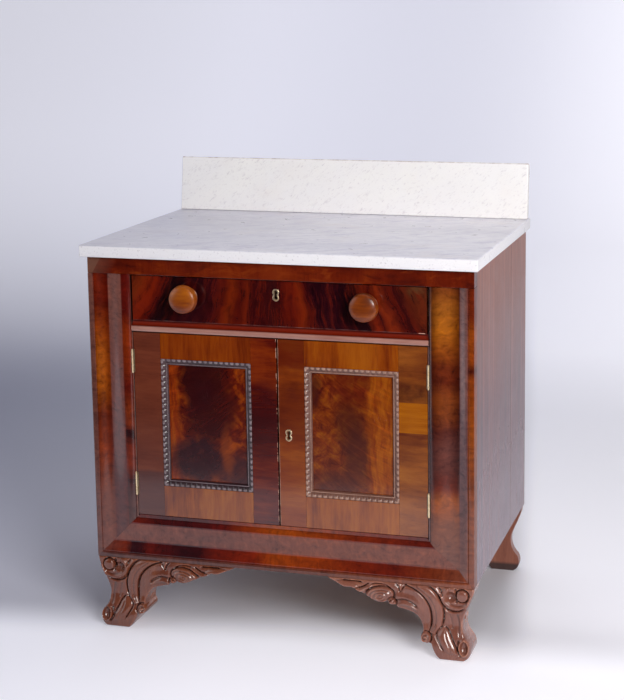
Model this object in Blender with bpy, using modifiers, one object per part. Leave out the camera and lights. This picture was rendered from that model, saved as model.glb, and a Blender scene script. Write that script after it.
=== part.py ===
"""A mahogany washstand with a marble top: one drawer over a two-door cupboard, on carved scroll feet.

Metres, +Z up, X to the right as seen from the front, the front faces -Y. The origin is on the floor,
in the middle of the outline seen from above.
"""

from math import cos, pi, radians, sin, sqrt

import bmesh
import bpy
from mathutils import Vector

# Fits and edges
FIT = 0.0003            # gap between pieces that touch
OVERRUN = 0.004         # how far a cutter runs past what it cuts
EDGE = 0.0008           # eased arris of worked wood
SOFT_EDGE = 0.0016      # worn arris of the marble and of the feet

# Case
CASE_WIDTH = 0.790
CASE_DEPTH = 0.540
CASE_HEIGHT = 0.6256
FOOT_HEIGHT = 0.147
SIDE_THICK = 0.022
SIDE_SEAM_BACK = 0.370   # glue line of the two side boards, from the case front
SIDE_SEAM_SIZE = 0.0010
BACK_THICK = 0.012
BACK_LAP = 0.010
BACK_BOARDS = 2
FLOOR_THICK = 0.018
TOP_RAIL_HEIGHT = 0.034
REAR_RAIL_DEPTH = 0.040
BATTEN_WIDTH = 0.055

# Mitred ogee frame round the front
FRAME_WIDTH = 0.0877
FRAME_THICK = 0.027
FILLET_WIDTH = 0.0105
QUIRK_WIDTH = 0.0018
QUIRK_DEPTH = 0.0014
HOLLOW_AT = 0.034
HOLLOW_DEPTH = 0.009
CREST_AT = 0.0770
CREST_RISE = 0.002
INNER_DROP = 0.004

# Marble
MARBLE_SIDE_OVERHANG = 0.010
MARBLE_THICK = 0.024
MARBLE_OVERHANG = 0.016
SPLASH_INSET = 0.003       # each end, from the end of the slab
SPLASH_HEIGHT = 0.121
SPLASH_THICK = 0.020
SPLASH_FROM_BACK = 0.028    # its lower front edge, ahead of the case back
SPLASH_LEAN = radians(8.2)

# Drawer and the strip under it
FACE_SETBACK = 0.005
DRAWER_SIDE_GAP = 0.0053   # between the drawer front and the frame
DRAWER_HEIGHT = 0.0900
DRAWER_TOP_GAP = 0.0024
DRAWER_BOTTOM_GAP = 0.0012
DRAWER_SIDE_THICK = 0.012
DRAWER_SIDE_DROP = 0.003
DRAWER_BACK_THICK = 0.012
DRAWER_BACK_DROP = 0.007
DRAWER_FLOOR_THICK = 0.007
DRAWER_FLOOR_UP = 0.008
DRAWER_GROOVE = 0.004
DRAWER_FRONT_GROOVE = 0.006
TAIL_COUNT = 3
TAIL_LAP = 0.007
TAIL_FLARE = 0.0022
TAIL_NARROW = 0.0170
DIVIDER_HEIGHT = 0.0230
DIVIDER_DEPTH = 0.050
DIVIDER_STOP = 0.012
STRIP_FACE = 0.0015
STRIP_COVE = 0.010
STRIP_NOSE = 0.0060
RUNNER_THICK = 0.020
RUNNER_LIP = 0.006
GUIDE_HEIGHT = 0.020
GUIDE_GAP = 0.0010

# Knobs
KNOB_RADIUS = 0.0285
KNOB_LENGTH = 0.038
KNOB_INSET = 0.118         # from the end of the drawer front
KNOB_RISE = 0.0503       # above the lower edge of the drawer front
SPIGOT_RADIUS = 0.0085
KNOB_PROFILE_SHARES = (
    (0.00, 1.000), (0.35, 0.986), (0.62, 0.950), (0.82, 0.893), (0.92, 0.840), (0.955, 0.785),
    (0.93, 0.735), (0.945, 0.660), (0.985, 0.600), (1.00, 0.540), (0.97, 0.480), (0.86, 0.420),
    (0.64, 0.360), (0.47, 0.280), (0.43, 0.200), (0.56, 0.110), (0.74, 0.050), (0.72, 0.000),
)

# Keyholes, locks and bolts
KEYHOLE_RADIUS = 0.0030
KEYHOLE_SPACING = 0.0110
ESCUTCHEON_RIM = 0.0036
ESCUTCHEON_DEEP = 0.0030
ESCUTCHEON_PROUD = 0.0006
LOCK_THICK = 0.0090
LOCK_WIDTH = 0.060
LOCK_HEIGHT = 0.044
LOCK_WALL = 0.0016
LOCK_BOLT_WIDTH = 0.020
LOCK_BOLT_LENGTH = 0.026
LOCK_BOLT_THROW = 0.008
DRAWER_KEYHOLE_RISE = 0.0625
DOOR_LOCK_WIDTH = 0.040
DOOR_KEYHOLE_IN = 0.0200   # from the edge of the right door
DOOR_KEYHOLE_RISE = 0.186  # above the lower edge of the doors
LATCH_WIDTH = 0.016
LATCH_HEIGHT = 0.070
LATCH_IN = 0.0150
LATCH_BAR_WIDTH = 0.008
LATCH_BAR_LENGTH = 0.052
LATCH_THROW = 0.010
LATCH_KNOB_RADIUS = 0.0017
LATCH_KNOB_LONG = 0.0030

# Doors
MEETING_GAP = 0.0030
DOOR_TOP_GAP = 0.0012
DOOR_BOTTOM_GAP = 0.0080
DOOR_FLOOR_GAP = 0.0020
HINGE_GAP = 0.0045        # between a door and the frame beside it
OUTER_STILE = 0.0570
INNER_STILE = 0.0535
DOOR_TOP_RAIL = 0.0515
DOOR_BOTTOM_RAIL = 0.0630
TENON_LENGTH = 0.025
TENON_THICK = 0.008
TENON_SHOULDER = 0.009
PANEL_THICK = 0.0056
PANEL_SETBACK = 0.0090
PANEL_TONGUE = 0.006
RIPPLE_WIDTH = 0.013
RIPPLE_PITCH = 0.0115
RIPPLE_PROUD = 0.0010
RIPPLE_WAVE = 0.0014
RIPPLE_BEAD = 0.0035
RIPPLE_INNER = 0.0030

# Butt hinges
HINGE_LENGTH = 0.046
HINGE_LEAF_WIDTH = 0.021
HINGE_LEAF_THICK = 0.0016
HINGE_AHEAD = 0.0020      # pin ahead of the door face
KNUCKLE_RADIUS = 0.0022
PIN_RADIUS = 0.0010
PIN_PLAY = 0.0001
PIN_HEAD_RADIUS = 0.0019
PIN_HEAD_LONG = 0.0012
UPPER_HINGE_DOWN = 0.059  # its middle, below the top of the door
LOWER_HINGE_UP = 0.065    # its middle, above the foot of the door

# Feet
FOOT_WIDTH = 0.300
FOOT_THICK = 0.052
BRACKET_THICK = 0.028
BLOCK_WIDTH = 0.150       # the thick part of a front foot
FOOT_TAB_WIDTH = 0.070
REAR_FOOT_THICK = 0.022
REAR_FOOT_WIDTH = 0.078
CURVE_STEPS = 3
FOOT_OUTLINE_SHARES = (
    # outer edge, downwards: shares of the foot's width, then of its height
    ((0.000, 0.998), (0.006, 0.930), (0.020, 0.850), (0.042, 0.740), (0.066, 0.630), (0.080, 0.530),
     (0.080, 0.440), (0.068, 0.350), (0.048, 0.285), (0.030, 0.240), (0.020, 0.180), (0.020, 0.110),
     (0.034, 0.045), (0.062, 0.000)),
    # the flat that stands on the floor, then the inner side up to the volute
    ((0.062, 0.000), (0.225, 0.000)),
    ((0.225, 0.000), (0.252, 0.055), (0.272, 0.130), (0.285, 0.205)),
    # volute
    ((0.285, 0.205), (0.315, 0.205), (0.346, 0.240), (0.354, 0.300), (0.342, 0.355)),
    # arch
    ((0.342, 0.355), (0.345, 0.430), (0.366, 0.530), (0.402, 0.595), (0.455, 0.632), (0.510, 0.655)),
    # bead at the end of the arch
    ((0.510, 0.655), (0.530, 0.692), (0.556, 0.697), (0.575, 0.722)),
    # cabochon
    ((0.575, 0.722), (0.610, 0.712), (0.650, 0.722), (0.700, 0.765), (0.750, 0.812), (0.795, 0.846),
     (0.828, 0.884)),
    # leaf
    ((0.828, 0.884), (0.868, 0.877), (0.910, 0.912), (0.955, 0.950), (1.000, 0.998)),
)
REAR_FOOT_INNER_SHARES = (
    # lower end of the rear foot's inner edge, upwards: shares of its own width, then of the height
    (0.870, 0.000), (0.960, 0.080), (1.000, 0.190), (0.985, 0.330), (0.960, 0.480), (0.965, 0.640),
    (1.000, 0.800), (1.080, 0.998),
)
ROUNDEL_RADIUS = 0.0120
ROUNDEL_RISE = 0.0030
ROUNDEL_SHARES = (0.080, 0.895)
VOLUTE_RADIUS = 0.0115
VOLUTE_RISE = 0.0040
VOLUTE_SHARES = (0.312, 0.285)
TOE_RADIUS = 0.0105
TOE_SHARES = (0.068, 0.185)
BEAD_RADIUS = 0.0085
BEAD_SHARES = (0.545, 0.765)
CABOCHON_WIDTH = 0.046
CABOCHON_HEIGHT = 0.026
CABOCHON_RISE = 0.0065
CABOCHON_SHARES = (0.645, 0.832)
SCROLL_RADIUS = 0.0032
SCROLL_RAISE_SHARE = 0.35
SCROLL_OUTER_SHARES = (
    (0.246, 0.400), (0.224, 0.520), (0.222, 0.660), (0.252, 0.800), (0.318, 0.900), (0.410, 0.940),
    (0.500, 0.900),
)
SCROLL_INNER_SHARES = (
    (0.300, 0.390), (0.290, 0.520), (0.305, 0.660), (0.350, 0.765), (0.420, 0.820), (0.500, 0.800),
)

# Places worked out from the sizes above
splash_reach = SPLASH_HEIGHT * sin(SPLASH_LEAN) + SPLASH_THICK * cos(SPLASH_LEAN)
knob_ahead = KNOB_LENGTH - FACE_SETBACK
splash_back = CASE_DEPTH + max(splash_reach - SPLASH_FROM_BACK, 0)
front = knob_ahead - (knob_ahead + splash_back) / 2     # plane of the outer fillets of the frame
back = front + CASE_DEPTH
case_half = CASE_WIDTH / 2
marble_half = case_half + MARBLE_SIDE_OVERHANG
splash_half = marble_half - SPLASH_INSET
inner_half = case_half - SIDE_THICK
case_bottom = FOOT_HEIGHT
case_top = case_bottom + CASE_HEIGHT
marble_bottom = case_top + FIT
marble_top = marble_bottom + MARBLE_THICK
frame_back = front + FRAME_THICK
behind_frame = frame_back + FIT
face = front + FACE_SETBACK
board_thick = FRAME_THICK - FACE_SETBACK
jamb = case_half - FRAME_WIDTH
back_front = back - BACK_THICK
carcass_back = back_front - FIT
rail_bottom = case_top - TOP_RAIL_HEIGHT
drawer_top = rail_bottom - DRAWER_TOP_GAP
drawer_bottom = drawer_top - DRAWER_HEIGHT
drawer_half = jamb - DRAWER_SIDE_GAP
knob_x = drawer_half - KNOB_INSET
drawer_inside = drawer_half - DRAWER_SIDE_THICK
divider_top = drawer_bottom - DRAWER_BOTTOM_GAP
divider_bottom = divider_top - DIVIDER_HEIGHT
divider_back = behind_frame + DIVIDER_DEPTH
door_top = divider_bottom - DOOR_TOP_GAP
door_bottom = case_bottom + FRAME_WIDTH + DOOR_BOTTOM_GAP
floor_top = door_bottom - DOOR_FLOOR_GAP
floor_bottom = floor_top - FLOOR_THICK
door_inner = MEETING_GAP / 2
door_outer = jamb - HINGE_GAP
pin_x = jamb - HINGE_GAP / 2
pin_y = face - HINGE_AHEAD
upper_hinge = door_top - UPPER_HINGE_DOWN
lower_hinge = door_bottom + LOWER_HINGE_UP
panel_front = face + PANEL_SETBACK
drawer_keyhole = drawer_bottom + DRAWER_KEYHOLE_RISE
door_keyhole = door_bottom + DOOR_KEYHOLE_RISE
door_keyhole_x = door_inner + DOOR_KEYHOLE_IN
lock_front = frame_back - LOCK_THICK


def clear_scene():
    for old in list(bpy.data.objects):
        bpy.data.objects.remove(old, do_unlink=True)
    for old in list(bpy.data.collections):
        bpy.data.collections.remove(old)


def collection(name):
    made = bpy.data.collections.new(name)
    bpy.context.scene.collection.children.link(made)
    return made


def material(name, colour, roughness, metallic=0.0):
    made = bpy.data.materials.new(name)
    made.use_nodes = True
    shader = made.node_tree.nodes["Principled BSDF"]
    shader.inputs["Base Color"].default_value = (*colour, 1.0)
    shader.inputs["Roughness"].default_value = roughness
    shader.inputs["Metallic"].default_value = metallic
    made.diffuse_color = (*colour, 1.0)
    return made


clear_scene()
PARTS = collection("washstand")
CUTTERS = collection("cutters")
WALNUT_RED = material("mahogany_veneer", (0.20, 0.030, 0.012), 0.22)
ORANGE_RED = material("mahogany_figured", (0.30, 0.070, 0.020), 0.22)
CARVED = material("mahogany_carved", (0.13, 0.035, 0.022), 0.32)
KNOB_WOOD = material("turned_wood", (0.42, 0.15, 0.035), 0.20)
PINE = material("secondary_wood", (0.50, 0.34, 0.19), 0.62)
MARBLE = material("white_marble", (0.80, 0.78, 0.80), 0.25)
BRASS = material("old_brass", (0.60, 0.46, 0.22), 0.35, 1.0)
IRON = material("lock_iron", (0.22, 0.20, 0.19), 0.50, 1.0)


def place(obj, group=None):
    for other in list(obj.users_collection):
        other.objects.unlink(obj)
    (group or PARTS).objects.link(obj)
    return obj


def as_cutter(obj):
    obj.hide_render = True
    obj.display_type = "WIRE"
    return place(obj, CUTTERS)


def apply_scale(obj):
    for vert in obj.data.vertices:
        vert.co = vert.co * obj.scale
    obj.scale = Vector((1, 1, 1))


def box(name, xs, ys, zs):
    """A cube primitive brought to the ranges given for X, Y and Z."""
    bpy.ops.mesh.primitive_cube_add(size=1)
    obj = bpy.context.object
    obj.name = name
    obj.location = [(low + high) / 2 for low, high in (xs, ys, zs)]
    obj.scale = [high - low for low, high in (xs, ys, zs)]
    apply_scale(obj)
    return place(obj)


def rod(name, centre, radius, length, axis, sides):
    """A cylinder primitive along axis X, Y or Z."""
    bpy.ops.mesh.primitive_cylinder_add(vertices=sides, radius=radius, depth=length)
    obj = bpy.context.object
    obj.name = name
    obj.location = centre
    obj.rotation_euler = {"X": (0, pi / 2, 0), "Y": (pi / 2, 0, 0), "Z": (0, 0, 0)}[axis]
    return place(obj)


TURNS = {"X": (pi / 2, 0, pi / 2), "Y": (pi / 2, 0, 0), "Z": (0, 0, 0)}


def meshed(name, curve_object):
    """The curve's evaluated mesh, welded, in its place."""
    bpy.context.view_layer.update()
    seen = curve_object.evaluated_get(bpy.context.evaluated_depsgraph_get())
    mesh = bpy.data.meshes.new_from_object(seen)
    solid = bpy.data.objects.new(name, mesh)
    solid.matrix_world = curve_object.matrix_world.copy()
    bpy.data.objects.remove(curve_object, do_unlink=True)
    work = bmesh.new()
    work.from_mesh(mesh)
    bmesh.ops.remove_doubles(work, verts=work.verts, dist=FIT / 30)
    bmesh.ops.dissolve_limit(work, angle_limit=radians(0.5), verts=work.verts, edges=work.edges)
    bmesh.ops.recalc_face_normals(work, faces=work.faces)
    work.to_mesh(mesh)
    work.free()
    return place(solid)


def extruded(name, outline, axis, low, high):
    """A flat outline pushed along an axis. Its points are (y, z) along X, (x, z) along Y, (x, y) along Z."""
    curve = bpy.data.curves.new(name, "CURVE")
    curve.dimensions = "2D"
    curve.fill_mode = "BOTH"
    curve.extrude = (high - low) / 2
    line = curve.splines.new("POLY")
    line.points.add(len(outline) - 1)
    for point, (u, v) in zip(line.points, outline):
        point.co = (u, v, 0, 1)
    line.use_cyclic_u = True
    obj = bpy.data.objects.new(name + "_outline", curve)
    middle = (low + high) / 2
    obj.location = {"X": (middle, 0, 0), "Y": (0, middle, 0), "Z": (0, 0, middle)}[axis]
    obj.rotation_euler = TURNS[axis]
    place(obj)
    return meshed(name, obj)


def tube(name, points, radius):
    """A round bar along 3-D points."""
    curve = bpy.data.curves.new(name, "CURVE")
    curve.dimensions = "3D"
    curve.bevel_depth = radius
    curve.bevel_resolution = 1
    curve.use_fill_caps = True
    line = curve.splines.new("POLY")
    line.points.add(len(points) - 1)
    for point, place_at in zip(line.points, points):
        point.co = (*place_at, 1)
    obj = place(bpy.data.objects.new(name + "_path", curve))
    return meshed(name, obj)


def turned(name, profile, centre, axis_turn, steps):
    """A profile of (radius, height) points, from the top down, revolved with a Screw modifier."""
    mesh = bpy.data.meshes.new(name)
    verts = [(radius, 0, height) for radius, height in profile]
    mesh.from_pydata(verts, [(i, i + 1) for i in range(len(verts) - 1)], [])
    obj = place(bpy.data.objects.new(name, mesh))
    obj.location = centre
    obj.rotation_euler = axis_turn
    screw = obj.modifiers.new("turn", "SCREW")
    screw.steps = steps
    screw.render_steps = steps
    screw.use_merge_vertices = True
    screw.merge_threshold = 0.00001
    return obj


def boolean(obj, other, operation):
    cut = obj.modifiers.new(operation.lower(), "BOOLEAN")
    cut.operation = operation
    cut.object = as_cutter(other)
    cut.solver = "EXACT"


def cut(obj, *cutters):
    for cutter in cutters:
        boolean(obj, cutter, "DIFFERENCE")
    return obj


def join(obj, *others):
    for other in others:
        boolean(obj, other, "UNION")
    return obj


def ease(obj, width):
    """Eased arrises."""
    bevel = obj.modifiers.new("arris", "BEVEL")
    bevel.width = width
    bevel.segments = 1
    bevel.limit_method = "ANGLE"
    bevel.angle_limit = radians(50)
    bevel.use_clamp_overlap = True
    return obj


def paint(obj, look):
    obj.data.materials.clear()
    obj.data.materials.append(look)
    obj.data.shade_smooth()
    obj.data.set_sharp_from_angle(angle=radians(32))
    return obj


def hang(obj, pivot):
    """Parents a piece to a joint's empty without moving it."""
    bpy.context.view_layer.update()
    obj.parent = pivot
    obj.matrix_parent_inverse = pivot.matrix_world.inverted()
    return obj


def pivot_at(name, where):
    empty = place(bpy.data.objects.new(name, None))
    empty.location = where
    bpy.context.view_layer.update()
    return empty


def smooth(knots, steps):
    """Points of a Catmull-Rom curve through the knots, end points included."""
    line = []
    for i in range(len(knots) - 1):
        before = Vector(knots[max(i - 1, 0)])
        start, end = Vector(knots[i]), Vector(knots[i + 1])
        after = Vector(knots[min(i + 2, len(knots) - 1)])
        for k in range(steps):
            t = k / steps
            line.append(0.5 * ((2 * start) + (end - before) * t
                               + (2 * before - 5 * start + 4 * end - after) * t * t
                               + (3 * start - before - 3 * end + after) * t ** 3))
    line.append(Vector(knots[-1]))
    return line


def span(side, near, far):
    """The X range from near to far, on the side whose sign is given."""
    return (near, far) if side > 0 else (-far, -near)


def side_name(side):
    return "right" if side > 0 else "left"


# Case
def build_sides():
    for side in (-1, 1):
        seam = front + SIDE_SEAM_BACK
        nick = SIDE_SEAM_SIZE / 2
        plan = [
            (inner_half, behind_frame), (case_half, behind_frame),
            (case_half, seam - nick), (case_half - nick, seam), (case_half, seam + nick),
            (case_half, back), (inner_half + BACK_LAP, back),
            (inner_half + BACK_LAP, carcass_back), (inner_half, carcass_back),
        ]
        plan = [(side * x, y) for x, y in plan]
        board = extruded(f"side_panel_{side_name(side)}", plan, "Z", case_bottom, case_top)
        paint(board, ORANGE_RED)


def build_back():
    reach = inner_half + BACK_LAP - FIT
    width = 2 * reach / BACK_BOARDS
    for i in range(BACK_BOARDS):
        left = -reach + i * width
        board = box(f"back_board_{i + 1}", (left, left + width - FIT), (back_front, back),
                    (case_bottom, case_top))
        paint(ease(board, EDGE), PINE)


def build_rails():
    cupboard_floor = box("bottom_board", (-inner_half + FIT, inner_half - FIT),
                         (behind_frame, carcass_back), (floor_bottom, floor_top))
    paint(ease(cupboard_floor, EDGE), PINE)
    rail = box("top_rail_front", (-case_half, case_half), (front, frame_back), (rail_bottom, case_top))
    slot = box("drawer_bolt_slot",
               (-LOCK_BOLT_WIDTH / 2 - 2 * FIT, LOCK_BOLT_WIDTH / 2 + 2 * FIT),
               (bolt_front - 2 * FIT, bolt_back + 2 * FIT),
               (rail_bottom - OVERRUN, drawer_top + LOCK_BOLT_THROW + FIT))
    paint(ease(cut(rail, slot), EDGE), WALNUT_RED)
    rear = box("top_rail_rear", (-inner_half + FIT, inner_half - FIT),
               (carcass_back - REAR_RAIL_DEPTH, carcass_back), (rail_bottom, case_top))
    paint(ease(rear, EDGE), PINE)
    batten = box("top_batten", (-BATTEN_WIDTH / 2, BATTEN_WIDTH / 2),
                 (behind_frame, carcass_back - REAR_RAIL_DEPTH - FIT), (rail_bottom, case_top))
    paint(ease(batten, EDGE), PINE)


def ease_between(start, end, count):
    """Points of a half cosine from one level to the other, the first left out."""
    (s0, h0), (s1, h1) = start, end
    return [(s0 + (s1 - s0) * k / count, h0 + (h1 - h0) * (1 - cos(pi * k / count)) / 2)
            for k in range(1, count + 1)]


def frame_profile():
    """Section of the frame: (distance from the outer edge, rise ahead of the fillet)."""
    quirk = FILLET_WIDTH + QUIRK_WIDTH / 2
    start = (FILLET_WIDTH + QUIRK_WIDTH, -QUIRK_DEPTH / 3)
    section = [(0, -FRAME_THICK), (0, 0), (FILLET_WIDTH, 0), (quirk, -QUIRK_DEPTH), start]
    section += ease_between(start, (HOLLOW_AT, -HOLLOW_DEPTH), 5)
    section += ease_between((HOLLOW_AT, -HOLLOW_DEPTH), (CREST_AT, CREST_RISE), 9)
    fall = CREST_RISE + INNER_DROP
    for k in range(1, 5):
        share = sin(pi / 2 * k / 4)
        section.append((CREST_AT + (FRAME_WIDTH - CREST_AT) * share,
                        CREST_RISE - fall * (1 - sqrt(1 - share * share))))
    section.append((FRAME_WIDTH, -FRAME_THICK))
    return section


def sliced(obj, point, normal):
    """Saws the piece at a plane and keeps the side that the normal points away from."""
    bpy.context.view_layer.update()
    inverse = obj.matrix_world.inverted()
    work = bmesh.new()
    work.from_mesh(obj.data)
    found = bmesh.ops.bisect_plane(
        work, geom=work.verts[:] + work.edges[:] + work.faces[:], dist=FIT / 100,
        plane_co=inverse @ Vector(point), plane_no=(inverse.to_3x3() @ Vector(normal)).normalized(),
        clear_outer=True)
    rim = [item for item in found["geom_cut"] if isinstance(item, bmesh.types.BMEdge)]
    bmesh.ops.contextual_create(work, geom=rim)
    bmesh.ops.recalc_face_normals(work, faces=work.faces)
    work.to_mesh(obj.data)
    work.free()
    return obj


def build_frame():
    section = frame_profile()
    for side in (-1, 1):
        plan = [(side * (case_half - s), front - h) for s, h in section]
        name = f"frame_moulding_{side_name(side)}"
        stile = extruded(name, plan, "Z", case_bottom - OVERRUN, rail_bottom - FIT)
        corner = (side * case_half, front, case_bottom + FIT / 2)
        sliced(stile, corner, (-side, 0, -1))
        cut(stile, *[hinge_mortise(side, level, 1) for level in (lower_hinge, upper_hinge)])
        paint(stile, WALNUT_RED)
    elevation = [(front - h, case_bottom + s) for s, h in section]
    foot_rail = extruded("frame_moulding_bottom", elevation, "X", -case_half - OVERRUN,
                         case_half + OVERRUN)
    for side in (-1, 1):
        sliced(foot_rail, (side * (case_half - FIT / 2), front, case_bottom), (side, 0, 1))
    paint(foot_rail, WALNUT_RED)


def build_divider():
    rail = box("divider_rail", (-inner_half + FIT, inner_half - FIT), (behind_frame, divider_back),
               (divider_bottom - DIVIDER_STOP, divider_top))
    paint(ease(rail, EDGE), PINE)
    nose = front + STRIP_FACE
    turn_in = nose + STRIP_COVE
    section = [(frame_back, divider_bottom), (frame_back, divider_top), (turn_in, divider_top)]
    for k in range(1, 6):
        angle = pi / 2 * k / 6
        section.append((turn_in - STRIP_COVE * (1 - cos(angle)), divider_top - STRIP_COVE * sin(angle)))
    middle = divider_top - STRIP_COVE - STRIP_NOSE
    for k in range(7):
        angle = pi * k / 6
        section.append((nose + STRIP_NOSE / 2 * (1 - sin(angle)) + FIT, middle + STRIP_NOSE * cos(angle)))
    strip = extruded("divider_moulding", section, "X", -jamb + FIT, jamb - FIT)
    cut(strip, box("latch_hole", latch_span(2 * FIT), (latch_front - 2 * FIT, latch_back + 2 * FIT),
                   (divider_bottom - OVERRUN, door_top + LATCH_THROW + FIT)))
    paint(strip, WALNUT_RED)


def build_runners():
    runner_top = drawer_bottom - FIT
    for side in (-1, 1):
        low = runner_top - RUNNER_THICK
        outline = [
            (drawer_inside - RUNNER_LIP, low), (inner_half - FIT, low),
            (inner_half - FIT, runner_top + GUIDE_HEIGHT),
            (drawer_half + GUIDE_GAP, runner_top + GUIDE_HEIGHT),
            (drawer_half + GUIDE_GAP, runner_top), (drawer_inside - RUNNER_LIP, runner_top),
        ]
        outline = [(side * x, z) for x, z in outline]
        runner = extruded(f"drawer_runner_{side_name(side)}", outline, "Y", divider_back + FIT,
                          carcass_back)
        paint(runner, PINE)


# Marble
def build_marble():
    slab = box("marble_top", (-marble_half, marble_half), (front - MARBLE_OVERHANG, back),
               (marble_bottom, marble_top))
    paint(ease(slab, SOFT_EDGE), MARBLE)
    up = Vector((sin(SPLASH_LEAN), cos(SPLASH_LEAN)))
    through = Vector((cos(SPLASH_LEAN), -sin(SPLASH_LEAN)))
    toe = Vector((back - SPLASH_FROM_BACK, marble_top + FIT))
    heel = toe + Vector((SPLASH_THICK / cos(SPLASH_LEAN), 0))
    top_front = toe + SPLASH_HEIGHT * up
    section = [tuple(p) for p in (toe, top_front, top_front + SPLASH_THICK * through, heel)]
    splash = extruded("marble_backsplash", section, "X", -splash_half, splash_half)
    paint(ease(splash, SOFT_EDGE), MARBLE)


# Keyholes and locks
def keyhole(grow, centre, height):
    """Outline of a keyhole in the XZ plane, widened all round."""
    radius = KEYHOLE_RADIUS + grow
    upper, lower = height + KEYHOLE_SPACING / 2, height - KEYHOLE_SPACING / 2
    points = []
    for k in range(13):
        angle = radians(-50 + 280 * k / 12)
        points.append((centre + radius * cos(angle), upper + radius * sin(angle)))
    for k in range(13):
        angle = radians(130 + 280 * k / 12)
        points.append((centre + radius * cos(angle), lower + radius * sin(angle)))
    return points


def build_escutcheon(name, centre, height):
    ring = extruded(name, keyhole(ESCUTCHEON_RIM, centre, height), "Y", face - ESCUTCHEON_PROUD,
                    face + ESCUTCHEON_DEEP)
    hole = extruded(name + "_hole", keyhole(0, centre, height), "Y", face - OVERRUN,
                    face + ESCUTCHEON_DEEP + OVERRUN)
    return paint(cut(ring, hole), BRASS)


def keyhole_cutters(centre, height):
    through = extruded("keyhole_cut", keyhole(0, centre, height), "Y", face - OVERRUN,
                       lock_front + OVERRUN)
    pocket = extruded("escutcheon_pocket", keyhole(ESCUTCHEON_RIM + FIT, centre, height), "Y",
                      face - OVERRUN, face + ESCUTCHEON_DEEP + FIT)
    return through, pocket


bolt_front = lock_front + LOCK_WALL + FIT
bolt_back = frame_back - LOCK_WALL - FIT
latch_front = bolt_front
latch_back = bolt_back


def latch_span(grow):
    """X range of the bar of the left door's bolt."""
    middle = -(door_inner + LATCH_IN)
    return middle - LATCH_BAR_WIDTH / 2 - grow, middle + LATCH_BAR_WIDTH / 2 + grow


# Drawer
def tail_outline(grow):
    """Side of the drawer with its dovetails, as (y, z) points, widened where it enters the front."""
    shoulder = frame_back + FIT
    tip = face + TAIL_LAP - grow
    low, high = drawer_bottom, drawer_top - DRAWER_SIDE_DROP
    pitch = (high - low) / TAIL_COUNT
    outline = []
    for i in range(TAIL_COUNT):
        middle = low + pitch * (i + 0.5)
        root = TAIL_NARROW / 2 + grow
        outline += [(shoulder, middle - root), (tip, middle - root - TAIL_FLARE),
                    (tip, middle + root + TAIL_FLARE), (shoulder, middle + root)]
    return outline, low, high, shoulder


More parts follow.
